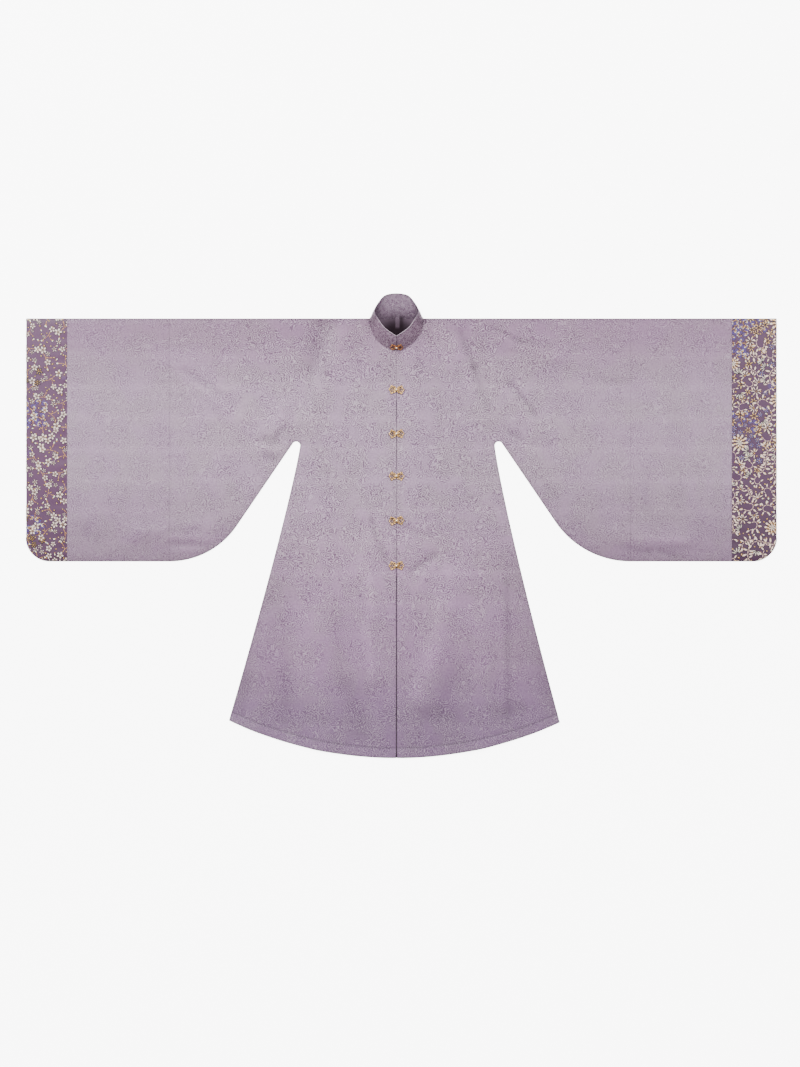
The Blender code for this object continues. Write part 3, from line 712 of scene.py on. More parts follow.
def build_body(side, materials):
    """Half of the body with its upper sleeve: front and back in one, folded over the shoulder."""
    cloth = bpy.context.scene.coat_cloth
    bm = bmesh.new()
    columns = trunk_columns(side, cloth.grid)
    underarm = inset(underarm_chain(side))
    flank = inset(flank_chain(side))
    armpit_depth, hem_end = flank[0, 1], flank[-1, 1]
    shares = crowded(SLEEVE_DEPTH, SLEEVE_DEPTH / CHEST_ROWS)
    corner = hem_depth(side.hem_corner)

    def chest(column, row, layer):
        width = columns[column]
        under_collar = np.where(width < NECK_HALF_WIDTH - MM, BACK_NECK_DEPTH, EDGE_REACH)
        top = neck_edge(width) if layer == "front" else under_collar
        return centred(width, column, layer), top + (armpit_depth - top) * shares[row]

    def skirt(column, row, layer):
        share = (columns[column] - columns[0]) / (columns[-1] - columns[0])
        fall = (flank[row, 1] - armpit_depth) / (hem_end - armpit_depth)
        drop = (hem_depth(share * side.hem_corner) - corner) / (HEM_CENTRE_DEPTH - corner)
        width = columns[0] + share * (flank[row, 0] - columns[0])
        depth = flank[row, 1] + drop * (HEM_CENTRE_DEPTH - hem_end) * fall ** 2
        return centred(width, column, layer), depth

    def upper_sleeve(column, row, layer):
        return underarm[column, 0], EDGE_REACH + (underarm[column, 1] - EDGE_REACH) * shares[row]

    add_layers(bm, side, len(columns), len(shares), chest)
    add_layers(bm, side, len(columns), len(flank), skirt)
    add_layers(bm, side, len(underarm), len(shares), upper_sleeve)
    shoulder = np.concatenate((columns[columns >= NECK_HALF_WIDTH - WELD], underarm[1:, 0]))
    ones = np.ones(shoulder.shape)
    add_edge_strip(bm, side, np.column_stack((shoulder, EDGE_REACH * ones, 0 * ones, -ones)))
    add_edge_strip(bm, side, underarm)
    add_edge_strip(bm, side, flank)
    return finish_cloth(f"coat_body_{side.name}", bm, materials, f"body_{side.name}",
                        cloth_shades(side))


def layer_area(side):
    """Flat area of one layer of a body half with its upper sleeve."""
    hem_x = np.linspace(side.hem_corner, 0, 30)
    outline = np.vstack(([[0, 0], [side.sleeve_seam, 0]], underarm_chain(side)[::-1, :2],
                         flank_chain(side)[1:, :2], np.column_stack((hem_x, hem_depth(hem_x)))))
    following = np.roll(outline, -1, axis=0)
    crossed = outline[:, 0] * following[:, 1] - following[:, 0] * outline[:, 1]
    neck = math.pi / 4 * NECK_HALF_WIDTH * NECK_DEPTH / 2
    return abs(crossed.sum()) / 2 - neck


def build_tube(side, name, materials):
    """A flat sleeve piece between two seams: layers from the shoulder fold to its lower edge."""
    bm = bmesh.new()
    chain = tube_chain(side, name, bpy.context.scene.coat_cloth.grid)
    lower = inset(chain)
    shares = crowded(SLEEVE_DEPTH, bpy.context.scene.coat_cloth.grid)

    def plan(column, row, layer):
        return lower[column, 0], EDGE_REACH + (lower[column, 1] - EDGE_REACH) * shares[row]

    add_layers(bm, side, len(lower), len(shares), plan)
    ones = np.ones(len(lower))
    add_edge_strip(bm, side, np.column_stack((lower[:, 0], EDGE_REACH * ones, 0 * ones, -ones)))
    add_edge_strip(bm, side, lower)
    return finish_cloth(f"coat_{name}_{side.name}", bm, materials, f"{name}_{side.name}",
                        cloth_shades(side))


def catmull(before, start, end, after, share):
    """A smooth curve through a table's values."""
    bend = 2 * before - 5 * start + 4 * end - after
    twist = 3 * start - before - 3 * end + after
    return 0.5 * (2 * start + (end - before) * share + bend * share ** 2 + twist * share ** 3)


def collar_points(position, height, hand):
    """Points of the band's middle; positions count table rows and heights run from seam to rim."""
    table = np.array(COLLAR_STATIONS, float) * MM
    mirrored = table[1] * (-1, 1, 1, -1, 1, 1)
    table = np.vstack((mirrored, table, 2 * table[-1] - table[-2]))
    last = len(COLLAR_STATIONS) - 2
    row = np.minimum(position.astype(int), last)
    share = (position - row)[:, None]
    station = catmull(table[row], table[row + 1], table[row + 2], table[row + 3], share)
    seam, rim = station[:, :3], station[:, 3:]
    away = seam[:, :2] - (0, -10 * MM)
    away /= np.linalg.norm(away, axis=1)[:, None]
    point = seam + (rim - seam) * height[:, None]
    point[:, :2] += away * (COLLAR_BULGE * np.sin(math.pi * height) * height)[:, None]
    return LAY_X + hand * point[:, 0], LAY_Y + point[:, 1], point[:, 2]


def rim_points():
    """Points along the band's rim, from one front corner round to the other."""
    step = np.arange(-COLLAR_STEPS, COLLAR_STEPS + 1)
    position = np.abs(step) / COLLAR_STEPS_PER_STATION
    return np.column_stack(collar_points(position, np.ones(len(step)), np.where(step >= 0, 1, -1)))


def build_collar(materials):
    """The standing band, open at the centre front and hollow where the neck goes."""
    bm = bmesh.new()

    def point(column, row):
        step = column - COLLAR_STEPS
        hand = np.where(step >= 0, 1, -1)
        position = np.abs(step) / COLLAR_STEPS_PER_STATION
        height = row / COLLAR_ROWS
        x, y, z = collar_points(position, height, hand)
        pucker = COLLAR_PUCKER * np.sin(position * 9 + 2 * np.sin(position * 2.3)) * bell(height, 0.3)
        up = height - 0.55 - 0.12 * np.sin(position * 1.9)
        crease = COLLAR_CREASE * bell(up, 0.09) * np.sin(position * 3.1)
        return x, y, z + pucker - crease

    add_grid(bm, 2 * COLLAR_STEPS + 1, COLLAR_ROWS + 1, point)

    # Painted shade: dark along the rim, and on the band's sides towards the shoulder fold
    def shade(points):
        nearest = np.min(np.linalg.norm(points[:, None] - rim_points()[None], axis=2), axis=1)
        aside = smooth((np.abs(points[:, 0] - LAY_X) - 44 * MM) / (16 * MM))
        flank = aside * smooth((points[:, 1] - LAY_Y + 34 * MM) / (30 * MM))
        return np.maximum(0.6 * bell(nearest, 2.6 * MM), 0.5 * flank)

    return finish_cloth("coat_collar", bm, materials, "collar", {"edge_shade": shade})


def build_piping(material):
    """The turned edge along the collar's rim, from one front corner round to the other."""
    bm = bmesh.new()
    rim = rim_points()
    rim[:, 2] += PIPING_LIFT
    add_tube(bm, rim, PIPING_RADIUS, 8, False)
    close_ends(bm)
    bmesh.ops.recalc_face_normals(bm, faces=bm.faces)
    piece = finish_piece("collar_edge", bm, [material])
    points = points_of(piece.data)
    # How far the painted highlight reaches, growing towards the front
    set_attribute(piece.data, "front_share", smooth((LAY_Y + 4 * MM - points[:, 1]) / (16 * MM)))
    return piece


# The kinds of node in use: for each, Blender's own name and its settings
NODES = {
    "noise": ("TexNoise", {"noise_dimensions": "2D"}),
    "solid_noise": ("TexNoise", {}),
    "cells": ("TexVoronoi", {"voronoi_dimensions": "2D", "feature": "F1"}),
    "threads": ("TexWave", {"bands_direction": "Y"}),
    "twill": ("TexWave", {"bands_direction": "DIAGONAL"}),
    "ease": ("MapRange", {"interpolation_type": "SMOOTHSTEP"}),
    "slow_ease": ("MapRange", {"interpolation_type": "SMOOTHERSTEP"}),
    "span": ("MapRange", {}),
    "blend": ("Mix", {"data_type": "RGBA"}),
    "stain": ("Mix", {"data_type": "RGBA", "blend_type": "MULTIPLY"}),
    "between": ("Mix", {"data_type": "FLOAT"}),
    "ramp": ("ValToRGB", {}),
    "split": ("SeparateXYZ", {}),
    "place": ("TexCoord", {}),
    "attribute": ("Attribute", {}),
    "bump": ("Bump", {}),
    "stretch": ("VectorMath", {"operation": "MULTIPLY"}),
    "stretch_add": ("VectorMath", {"operation": "MULTIPLY_ADD"}),
}
for kind, steps in (
        ("Math", "add subtract multiply multiply_add minimum maximum sine cosine absolute"),
        ("VectorMath", "fraction length distance scale")):
    NODES.update({step: (kind, {"operation": step.upper()}) for step in steps.split()})


def set_inputs(tree, node, inputs):
    """Set a node's inputs, in their order or by name, each to a value or a link."""
    live = [socket for socket in node.inputs if socket.enabled]
    if isinstance(inputs, dict):
        live = [next(socket for socket in live if socket.name == name) for name in inputs]
        inputs = inputs.values()
    for socket, value in zip(live, inputs):
        if isinstance(value, bpy.types.NodeSocket):
            tree.links.new(value, socket)
        else:
            socket.default_value = value


def add_node(tree, kind, inputs=(), output="Fac", **settings):
    """Add a node with its settings and links, and return its named output or else its first."""
    blender_name, usual = NODES[kind]
    node = tree.nodes.new(f"ShaderNode{blender_name}")
    for setting, value in {**usual, **settings}.items():
        setattr(node, setting, value)
    set_inputs(tree, node, inputs)
    live = [socket for socket in node.outputs if socket.enabled]
    return next((socket for socket in live if socket.name == output), live[0])


def new_material(name):
    """A material with its tree, its Principled shader and its Object coordinates."""
    material = bpy.data.materials.new(name)
    material.use_nodes = True
    tree = material.node_tree
    return material, tree, tree.nodes["Principled BSDF"], add_node(tree, "place", (), "Object")


def distance_along(tree, coordinates, axis, place):
    """How far a point is from a place on one axis."""
    along = add_node(tree, "split", (coordinates,), axis)
    return add_node(tree, "absolute", (add_node(tree, "subtract", (along, place)),))


def mottled(tree, base, pattern, low, high, stain):
    """A colour stained by a pattern: not at all where it is low, and fully where it is high."""
    return add_node(tree, "stain", (add_node(tree, "ease", (pattern, low, high)), base, linear(stain)))


# From one line of the woven figure to the next, as coarse as it needs to be to show; the cells
# that its curls lie in, and how often its scrolls follow one another through a cloud
FIGURE_LINE = 5.2 * MM
SCROLL_CELL = 21 * MM
SCROLL_TURNS = 12.5


def figure_nodes(tree, coordinates):
    """The woven figure: staggered round medallions of curling cloud lines, fainter between them."""
    cloth = bpy.context.scene.coat_cloth
    across, down, radius = cloth.across, cloth.down, cloth.medallion / 2
    warp = add_node(tree, "noise", (coordinates, 1 / (38 * MM), 1.0), "Color")
    shift = add_node(tree, "stretch_add", (warp, (17 * MM,) * 3, coordinates))
    distances = []
    for offset in (0.0, 0.5):
        cell = add_node(tree, "stretch_add", (shift, (1 / across, 1 / down, 0), (offset, offset, 0)))
        part = add_node(tree, "fraction", (cell,))
        centre = add_node(tree, "stretch_add", (part, (across, down, 0), (-across / 2, -down / 2, 0)))
        distances.append(add_node(tree, "length", (centre,)))
    nearest = add_node(tree, "minimum", distances)
    flattened = add_node(tree, "stretch", (shift, (0.9, 1.35, 1)))
    curls = add_node(tree, "cells", {"Vector": flattened, "Scale": 1 / SCROLL_CELL, "Randomness": 0.85})
    clouds = add_node(tree, "noise", (coordinates, 1 / (30 * MM), 1.0, 0.4))
    waves = []
    for pattern, turns in ((curls, SCROLL_CELL / FIGURE_LINE), (clouds, SCROLL_TURNS)):
        waves.append(add_node(tree, "sine", (add_node(tree, "multiply", (pattern, 2 * math.pi * turns)),)))
    lines = add_node(tree, "between", (0.5, *waves))
    ragged = add_node(tree, "multiply_add", (clouds, 34 * MM, nearest))
    medallion = add_node(tree, "ease", (ragged, radius + 25 * MM, radius + 9 * MM))
    patches = add_node(tree, "noise", (coordinates, 1 / (45 * MM), 1.0))
    fainter = add_node(tree, "ease", (patches, 0.32, 0.5, 0.0, 0.85))
    return lines, add_node(tree, "maximum", (medallion, fainter)), medallion


def figured(tree, base, lines, weight, dark, light):
    """A cloth colour with the figure's woven lines: painted shade in each line's hollow and a painted
    highlight at its lip.
    """
    hollow = add_node(tree, "multiply", (add_node(tree, "ease", (lines, 0.1, -0.75)), weight))
    lip = add_node(tree, "multiply", (add_node(tree, "ease", (lines, 0.15, 0.8)), weight))
    darker = add_node(tree, "stain", (hollow, base, linear(dark)))
    return add_node(tree, "blend", (add_node(tree, "multiply", (lip, 0.4)), darker, linear(light)))


# A wave texture of scale 1 has its bands this far apart, straight and on the diagonal. Real satin
# threads, twill lines and floss silk are too fine to show, and are drawn this far apart instead.
WAVE_BANDS = math.pi / 10
DIAGONAL_BANDS = math.pi / 5 / math.sqrt(2)
THREAD_SPACING = 1.3 * MM
TWILL_SPACING = 6.22 * MM
FLOSS_SPACING = 4.0 * MM


def weave(tree, coordinates, lines, weight, roughest, height):
    """Satin's surface: fine threads, and a figure that is raised and shines more than its ground."""
    figure = add_node(tree, "multiply", (lines, weight))
    rough = add_node(tree, "span", (figure, -1.0, 1.0, roughest, 0.4))
    threads = add_node(tree, "threads", (coordinates, WAVE_BANDS / THREAD_SPACING, 1.5, 1.0))
    ground = add_node(tree, "bump", {"Strength": 0.25, "Distance": 0.12 * MM, "Height": threads})
    raised_figure = {"Strength": 0.6, "Distance": height, "Height": figure, "Normal": ground}
    return {"Roughness": rough, "Normal": add_node(tree, "bump", raised_figure)}


def with_painted_shading(tree, colour):
    """The colour with painted light and shade: turned edges, seams, troughs and ridges toned as their
    attributes say.
    """
    folds = add_node(tree, "attribute", attribute_name="fold_tone")
    toned = add_node(tree, "scale", (colour, add_node(tree, "add", (folds, 1.0))))
    # Painted shade: edges, seams, openings, the neck and the cloth under the clasps darken towards this
    # colour
    edge = add_node(tree, "attribute", attribute_name="edge_shade")
    return add_node(tree, "stain", (edge, toned, linear("#4A3C4C")))


# Where along the depth each of the damask's tones lies, in mm from the shoulder fold
DAMASK_TONES = (
    ("shoulder", 0), ("chest", 230), ("chest", 420), ("waist", 640), ("skirt", 860), ("hem", 1090),
)
RAMP_REACH = 1200 * MM


def damask_material():
    """Satin damask: a soft sheen, glossier figures of the same colour, and darker to the hem."""
    cloth = bpy.context.scene.coat_cloth
    material, tree, shader, coordinates = new_material("satin_damask")
    along = add_node(tree, "split", (coordinates,), "Y")
    fall = add_node(tree, "span", (along, LAY_Y, LAY_Y - RAMP_REACH))
    ramp = add_node(tree, "ramp", (fall,), "Color")
    stops = ramp.node.color_ramp
    stops.interpolation = "EASE"
    while len(stops.elements) < len(DAMASK_TONES):
        stops.elements.new(1.0)
    for stop, (tone, depth) in zip(stops.elements, DAMASK_TONES):
        stop.position = depth * MM / RAMP_REACH
        stop.color = getattr(cloth, tone)
    lines, woven, medallion = figure_nodes(tree, coordinates)
    calm = add_node(tree, "ease", (fall, 0.48, 0.8, 1.0, 0.6))
    aside = distance_along(tree, coordinates, "X", LAY_X)
    plainer = add_node(tree, "ease", (aside, 250 * MM, 650 * MM, 1.15, 0.65))
    weight = add_node(tree, "multiply", (add_node(tree, "multiply", (woven, calm)), plainer))
    grain = add_node(tree, "noise", (coordinates, 1 / (5 * MM), 2.0, 0.7))
    grained = mottled(tree, ramp, grain, 0.3, 0.7, "#E6E0E6")
    # The figure's woven lines, with painted shade in their hollows and a painted highlight at their lips
    marked = figured(tree, grained, lines, weight, "#B1A6B1", "#DED2DC")
    faint = add_node(tree, "multiply", (medallion, 0.15))
    patch = add_node(tree, "stain", (faint, marked, linear("#EDE4F0")))
    tint = add_node(tree, "noise", (coordinates, 1 / (95 * MM), 3.0, 0.6))
    cloud = add_node(tree, "ease", (tint, 0.36, 0.64))
    warm = add_node(tree, "blend", (cloud, linear("#FAF0F9"), linear("#F9F5F5")))
    tinted = add_node(tree, "stain", (1.0, patch, warm))
    turn = add_node(tree, "multiply", (along, 4 * math.pi / cloth.down))
    band = add_node(tree, "ease", (add_node(tree, "cosine", (turn,)), -0.5, -1.0, 1.0, 1.06))
    banded = add_node(tree, "scale", (tinted, add_node(tree, "between", (calm, 1.0, band))))
    set_inputs(tree, shader, {"Base Color": with_painted_shading(tree, banded), "Specular IOR Level": 0.35,
                              "Sheen Weight": 0.15, "Sheen Roughness": 0.4,
                              **weave(tree, coordinates, lines, weight, 0.55, 0.2 * MM)})
    return material


# The neck's painted shade spreads from a point under the neckline; a light seam and a crease's painted
# shadow break it
NECK_SHADE_DEPTH, NECK_SHADE_HEIGHT = 40 * MM, 8 * MM
NECK_SHADE_START, NECK_SHADE_END = 12 * MM, 96 * MM
NECK_STRIP_DEPTH = 10 * MM
NECK_CREASE_X = 13 * MM
OPENING_SHADE_REACH = 14 * MM


def neck_shade(tree, coordinates, base):
    """A colour with painted shade that falls to near black in the neck, but for the light seam at its centre
    back.
    """
    middle = (LAY_X, LAY_Y - NECK_SHADE_DEPTH, NECK_SHADE_HEIGHT)
    away = add_node(tree, "distance", (coordinates, middle))
    fall = add_node(tree, "slow_ease", (away, NECK_SHADE_START, NECK_SHADE_END))
    aside = distance_along(tree, coordinates, "X", LAY_X + NECK_STRIP_X)
    strip = add_node(tree, "ease", (aside, 7 * MM, 4 * MM, 0.0, 0.2))
    below = distance_along(tree, coordinates, "Y", LAY_Y - NECK_STRIP_DEPTH)
    reach = add_node(tree, "ease", (below, 20 * MM, 10 * MM))
    crease = distance_along(tree, coordinates, "X", LAY_X + NECK_CREASE_X)
    shadow = add_node(tree, "ease", (crease, 9 * MM, 0.0, 0.0, 0.6))
    unshaded = add_node(tree, "subtract", (1.0, add_node(tree, "multiply", (shadow, reach))))
    lit = add_node(tree, "multiply_add", (strip, reach, add_node(tree, "multiply", (fall, unshaded))))
    deep = bpy.context.scene.coat_trim.painted_neck_shade
    return add_node(tree, "blend", (add_node(tree, "minimum", (lit, 1.0)), deep, base))


def inside_material():
    """Wrong side of the damask: duller, and painted near black with shade in the neck and under the opening.
    """
    scene = bpy.context.scene
    material, tree, shader, coordinates = new_material("damask_wrong_side")
    grain = add_node(tree, "multiply", (add_node(tree, "solid_noise", (coordinates, 1 / (4 * MM))), 0.6))
    base = add_node(tree, "stain", (grain, scene.coat_cloth.inside, linear("#B8B0BC")))
    # Painted shade under the opening, below the neck
    aside = distance_along(tree, coordinates, "X", LAY_X)
    under = add_node(tree, "ease", (aside, OPENING_SHADE_REACH, 0.0, 0.0, 0.8))
    along = add_node(tree, "split", (coordinates,), "Y")
    below = add_node(tree, "span", (along, LAY_Y - NECK_DEPTH, LAY_Y - NECK_DEPTH - 20 * MM))
    slit_painted_shade = add_node(tree, "multiply", (under, below))
    neck = neck_shade(tree, coordinates, base)
    shaded = add_node(tree, "blend", (slit_painted_shade, neck, scene.coat_trim.painted_neck_shade))
    set_inputs(tree, shader, {"Base Color": shaded, "Roughness": 0.85, "Specular IOR Level": 0.15})
    return material


# The collar's cloth on each side: its mottle's size, detail and reach, and its stained colour;
# then the colours of the painted shade in the figure's hollows and of the painted highlight at their lips
Marking = namedtuple("Marking", "spot detail low high stain dark light")
COLLAR_OUTSIDE = Marking(5 * MM, 3.0, 0.36, 0.64, "#BDAFBC", "#B0A2AF", "#B9A9B6")
COLLAR_INSIDE = Marking(7 * MM, 4.0, 0.38, 0.62, "#CCC1CC", "#CFC4D0", "#C9BDC8")
COLLAR_CLOSENESS = 1.5


def collar_cloth(tree, coordinates, colour, marking):
    """Mottled damask whose figure is closer than the body's: its colour, lines and their weight."""
    mottle = add_node(tree, "solid_noise", (coordinates, 1 / marking.spot, marking.detail, 0.7))
    base = mottled(tree, colour, mottle, marking.low, marking.high, marking.stain)
    closer = add_node(tree, "scale", (coordinates, COLLAR_CLOSENESS))
    lines, weight = figure_nodes(tree, closer)[:2]
    return figured(tree, base, lines, weight, marking.dark, marking.light), lines, weight


def collar_material():
    """The same damask in a deeper mauve, with its figure more strongly marked."""
    material, tree, shader, coordinates = new_material("collar_damask")
    colour = bpy.context.scene.coat_trim.collar
    marked, lines, weight = collar_cloth(tree, coordinates, colour, COLLAR_OUTSIDE)
    set_inputs(tree, shader, {"Base Color": with_painted_shading(tree, marked), "Specular IOR Level": 0.08,
                              **weave(tree, coordinates, lines, weight, 0.6, 0.3 * MM)})
    return material


def collar_inside_material():
    """The collar's inside: light at the top of the back, and painted deep in shade towards the front."""
    material, tree, shader, coordinates = new_material("collar_wrong_side")
    colour = bpy.context.scene.coat_trim.collar_inside
    marked = collar_cloth(tree, coordinates, colour, COLLAR_INSIDE)[0]
    shaded = with_painted_shading(tree, neck_shade(tree, coordinates, marked))
    set_inputs(tree, shader, {"Base Color": shaded, "Roughness": 0.7, "Specular IOR Level": 0.15})
    return material


def piping_material():
    """The collar's turned edge: a painted highlight along its front, painted shade round the back."""
    material, tree, shader, coordinates = new_material("turned_silk_edge")
    front = add_node(tree, "attribute", attribute_name="front_share")
    along = add_node(tree, "split", (coordinates,), "Y")
    below = add_node(tree, "ease", (along, LAY_Y + 10 * MM, LAY_Y - 18 * MM, 0.4))
    lit = add_node(tree, "multiply", (front, below))
    colour = add_node(tree, "blend", (lit, linear("#57455A"), linear("#CDB9C8")))
    set_inputs(tree, shader, {"Base Color": colour, "Roughness": 0.5})
    return material


def brocade_material(name, ground):
    """Silk brocade's ground: a close twill with a low sheen and clouded violet shading."""
    material, tree, shader, coordinates = new_material(name)
    cloud = add_node(tree, "solid_noise", (coordinates, 1 / (60 * MM), 2.0))
    clouded = add_node(tree, "ease", (cloud, 0.64, 0.78, 0.0, 0.3))
    base = add_node(tree, "blend", (clouded, ground, bpy.context.scene.coat_band.violet))
    twill = add_node(tree, "twill", (coordinates, DIAGONAL_BANDS / TWILL_SPACING, 0.6))
    lined = add_node(tree, "stain", (add_node(tree, "multiply", (twill, 0.25)), base, linear("#CFC6D2")))
    bump = add_node(tree, "bump", {"Strength": 0.4, "Distance": 0.15 * MM, "Height": twill})
    set_inputs(tree, shader, {"Base Color": with_painted_shading(tree, lined), "Roughness": 0.5, "Normal": bump})
    return material


def silk_material(name, colour, roughness):
    """Floss silk in satin stitch: ridges along the threads and a soft gloss."""
    material, tree, shader, coordinates = new_material(name)
    ridges = add_node(tree, "twill", (coordinates, DIAGONAL_BANDS / FLOSS_SPACING, 3.0, 1.0))
    tone = add_node(tree, "stain", (add_node(tree, "multiply", (ridges, 0.35)), colour, linear("#B4AAA6")))
    bump = add_node(tree, "bump", {"Strength": 0.5, "Distance": 0.12 * MM, "Height": ridges})
    set_inputs(tree, shader, {"Base Color": tone, "Roughness": roughness, "Normal": bump})
    return material


def metal_material(name, colour):
    """Cast brass, gilt or coppered: a painted highlight high on the ball, and low down tarnish with painted
    contact shade.
    """
    material, tree, shader, coordinates = new_material(name)
    relief = add_node(tree, "attribute", attribute_name="relief")
    # Low down: tarnish, and painted shade where the wire meets the cloth
    tarnish_and_contact_shade = add_node(tree, "ease", (relief, 2.1 * MM, 1.0 * MM, 0.0, 0.95))
    blotch = add_node(tree, "solid_noise", (coordinates, 1 / (3 * MM), 3.0))
    base = add_node(tree, "stain", (add_node(tree, "multiply", (blotch, 0.35)), colour, linear("#B98A5A")))
    # High up, on the ball: a painted highlight
    painted_highlight = add_node(tree, "ease", (relief, 3.8 * MM, 6.4 * MM))
    bright = add_node(tree, "blend", (painted_highlight, base, linear("#FFF1D2")))
    tarnished_and_shaded = add_node(tree, "blend", (tarnish_and_contact_shade, bright, linear("#2E1A10")))
    rough = add_node(tree, "span", (blotch, 0.0, 1.0, 0.18, 0.4))
    set_inputs(tree, shader, {"Base Color": tarnished_and_shaded, "Roughness": rough, "Metallic": 1.0})
    return material


def add_tube(bm, path, radius, sides, closed):
    """Round wire along a path of points, its section kept upright; radius may vary along it."""
    path = np.array(path, float)
    radius = np.broadcast_to(radius, len(path))
    ahead = np.roll(path, -1, axis=0)
    behind = np.roll(path, 1, axis=0)
    if not closed:
        ahead[-1], behind[0] = path[-1], path[0]
    along = ahead - behind
    along /= np.linalg.norm(along, axis=1)[:, None]
    across = np.cross(along, (0.0, 0.0, 1.0))
    across /= np.linalg.norm(across, axis=1)[:, None]
    up = np.cross(across, along)
    count = len(path)

    def point(column, row):
        index = column % count
        angle = 2 * math.pi * (row % sides) / sides
        offset = np.cos(angle)[:, None] * across[index] + np.sin(angle)[:, None] * up[index]
        return (path[index] + offset * radius[index][:, None]).T

    add_grid(bm, count + 1 if closed else count, sides + 1, point)


# A half's centre, half width and half height, its lobes' depth, its curls, how high its wires lie,
# and the wire of its inner rings
RING_X = 10.8 * MM
RING_WIDTH = 7.4 * MM
RING_HEIGHT = 9.6 * MM
LOBE_DEPTH = 0.17
INNER_RING = 0.36
CURL_RADIUS = 1.9 * MM
CURL_REACH = 0.8
WIRE_HEIGHT = 1.4 * MM
FINE_WIRE = 0.6 * MM
WAIST_WIRE = 1.05 * MM
BEAD_RADIUS = 1.3 * MM
BALL_HEIGHT = 3.6 * MM
SOCKET_RADIUS = 4.1 * MM
SOCKET_WIRE = 0.8 * MM


def add_loop(bm, centre, reach, turn, height, radius, sides=6):
    """A closed loop of wire that lies flat round a centre."""
    flat = np.full(turn.shape, height)
    path = np.column_stack((centre[0] + reach[0] * np.cos(turn), centre[1] + reach[1] * np.sin(turn), flat))
    add_tube(bm, path, radius, sides, True)


def clasp_half(ball):
    """One half, lying on z = 0 with its ring towards +X: lobed wire, curls, beads and a waist."""
    trim = bpy.context.scene.coat_trim
    bm = bmesh.new()
    turn = np.linspace(0, 2 * math.pi, 80, endpoint=False)
    circle = np.linspace(0, 2 * math.pi, 20, endpoint=False)
    reach = 1 + LOBE_DEPTH * np.cos(trim.lobes * turn)
    add_loop(bm, (RING_X, 0), (RING_WIDTH * reach, RING_HEIGHT * reach), turn, WIRE_HEIGHT, trim.wire, 8)
    add_loop(bm, (RING_X, 0), (INNER_RING * RING_WIDTH, INNER_RING * RING_HEIGHT), turn[::4],
             WIRE_HEIGHT - 0.2 * MM, FINE_WIRE)
    for lobe in range(trim.lobes):
        angle = 2 * math.pi * lobe / trim.lobes
        centre = (RING_X + RING_WIDTH * CURL_REACH * math.cos(angle),
                  RING_HEIGHT * CURL_REACH * math.sin(angle))
        if abs(math.sin(angle)) > 0.1:
            add_loop(bm, centre, (CURL_RADIUS, CURL_RADIUS), circle, WIRE_HEIGHT + 0.3 * MM, FINE_WIRE)
        between = angle + math.pi / trim.lobes
        low = 1 - LOBE_DEPTH
        bead = (RING_X + RING_WIDTH * low * math.cos(between), RING_HEIGHT * low * math.sin(between),
                WIRE_HEIGHT + 0.7 * MM)
        bmesh.ops.create_icosphere(bm, subdivisions=2, radius=BEAD_RADIUS, matrix=Matrix.Translation(bead))
    waist = np.linspace(2.2 * MM, RING_X - RING_WIDTH * 0.8, 8)
    for offset in (-1, 1):
        swing = offset * (1.2 * MM + 1.9 * MM * ((waist - waist[0]) / (waist[-1] - waist[0])) ** 2)
        path = np.column_stack((waist, swing, np.full(waist.shape, WIRE_HEIGHT + 0.4 * MM)))
        add_tube(bm, path, WAIST_WIRE, 6, False)
    if ball:
        bmesh.ops.create_uvsphere(bm, u_segments=24, v_segments=16, radius=trim.ball,
                                  matrix=Matrix.Translation((0, 0, BALL_HEIGHT)))
    else:
        add_loop(bm, (0, 0), (SOCKET_RADIUS, SOCKET_RADIUS), circle, WIRE_HEIGHT, SOCKET_WIRE)
    close_ends(bm)
    return bm


def build_clasp(number, placing, scale, material):
    """A fastened clasp: the stud half on the left side, the socket half on the right."""
    for name, hand in (("stud", 1), ("socket", -1)):
        bm = clasp_half(ball=name == "stud")
        height = bm.verts.layers.float.new("relief")
        for vert in bm.verts:
            vert[height] = vert.co.z
        sized = placing @ Matrix.Diagonal((hand * scale, scale, scale, 1))
        bmesh.ops.transform(bm, matrix=sized, verts=bm.verts)
        bmesh.ops.recalc_face_normals(bm, faces=bm.faces)
        finish_piece(f"clasp_half_{number}_{name}", bm, [material], f"clasp_{number}_{name}")


def collar_placing():
    """Where the first clasp lies: on the band's front, just above its seam."""
    front = np.array([len(COLLAR_STATIONS) - 1.0] * 2)
    ends = np.array(collar_points(front, np.array([0, 2 * COLLAR_CLASP_HEIGHT]), 1)).T
    low, high = Vector(ends[0]), Vector(ends[1])
    up = (high - low).normalized()
    across = Vector((1, 0, 0))
    out = across.cross(up)
    placing = Matrix((across, up, out)).transposed().to_4x4()
    placing.translation = (low + high) / 2 + out * COLLAR_CLASP_LIFT
    placing.translation.x = LAY_X
    return placing


# One flat stitched shape: its centre, half length and half width, turn, heights and thread; a
# pointed one narrows to its tips as a leaf does.
Shape = namedtuple("Shape", "x y length breadth turn low high thread pointed", defaults=(0.0,))
CREAM, GOLD, VIOLET, BROWN, GREY, BEIGE = range(6)
THREADS = ("cream", "gold", "violet", "brown", "grey", "beige")
RELIEF = namedtuple("Relief", "ground low mid high")(0.0, 0.45, 0.8, 1.1)

# A shape's sides, how far its top narrows, how deep it sinks into the cloth, and how far its rim
# shows round it, in mm
SHAPE_SIDES = 8
SHAPE_TAPER = 0.66
FIGURE_SINK = 0.05 * MM
RIM_REACH = 1.5


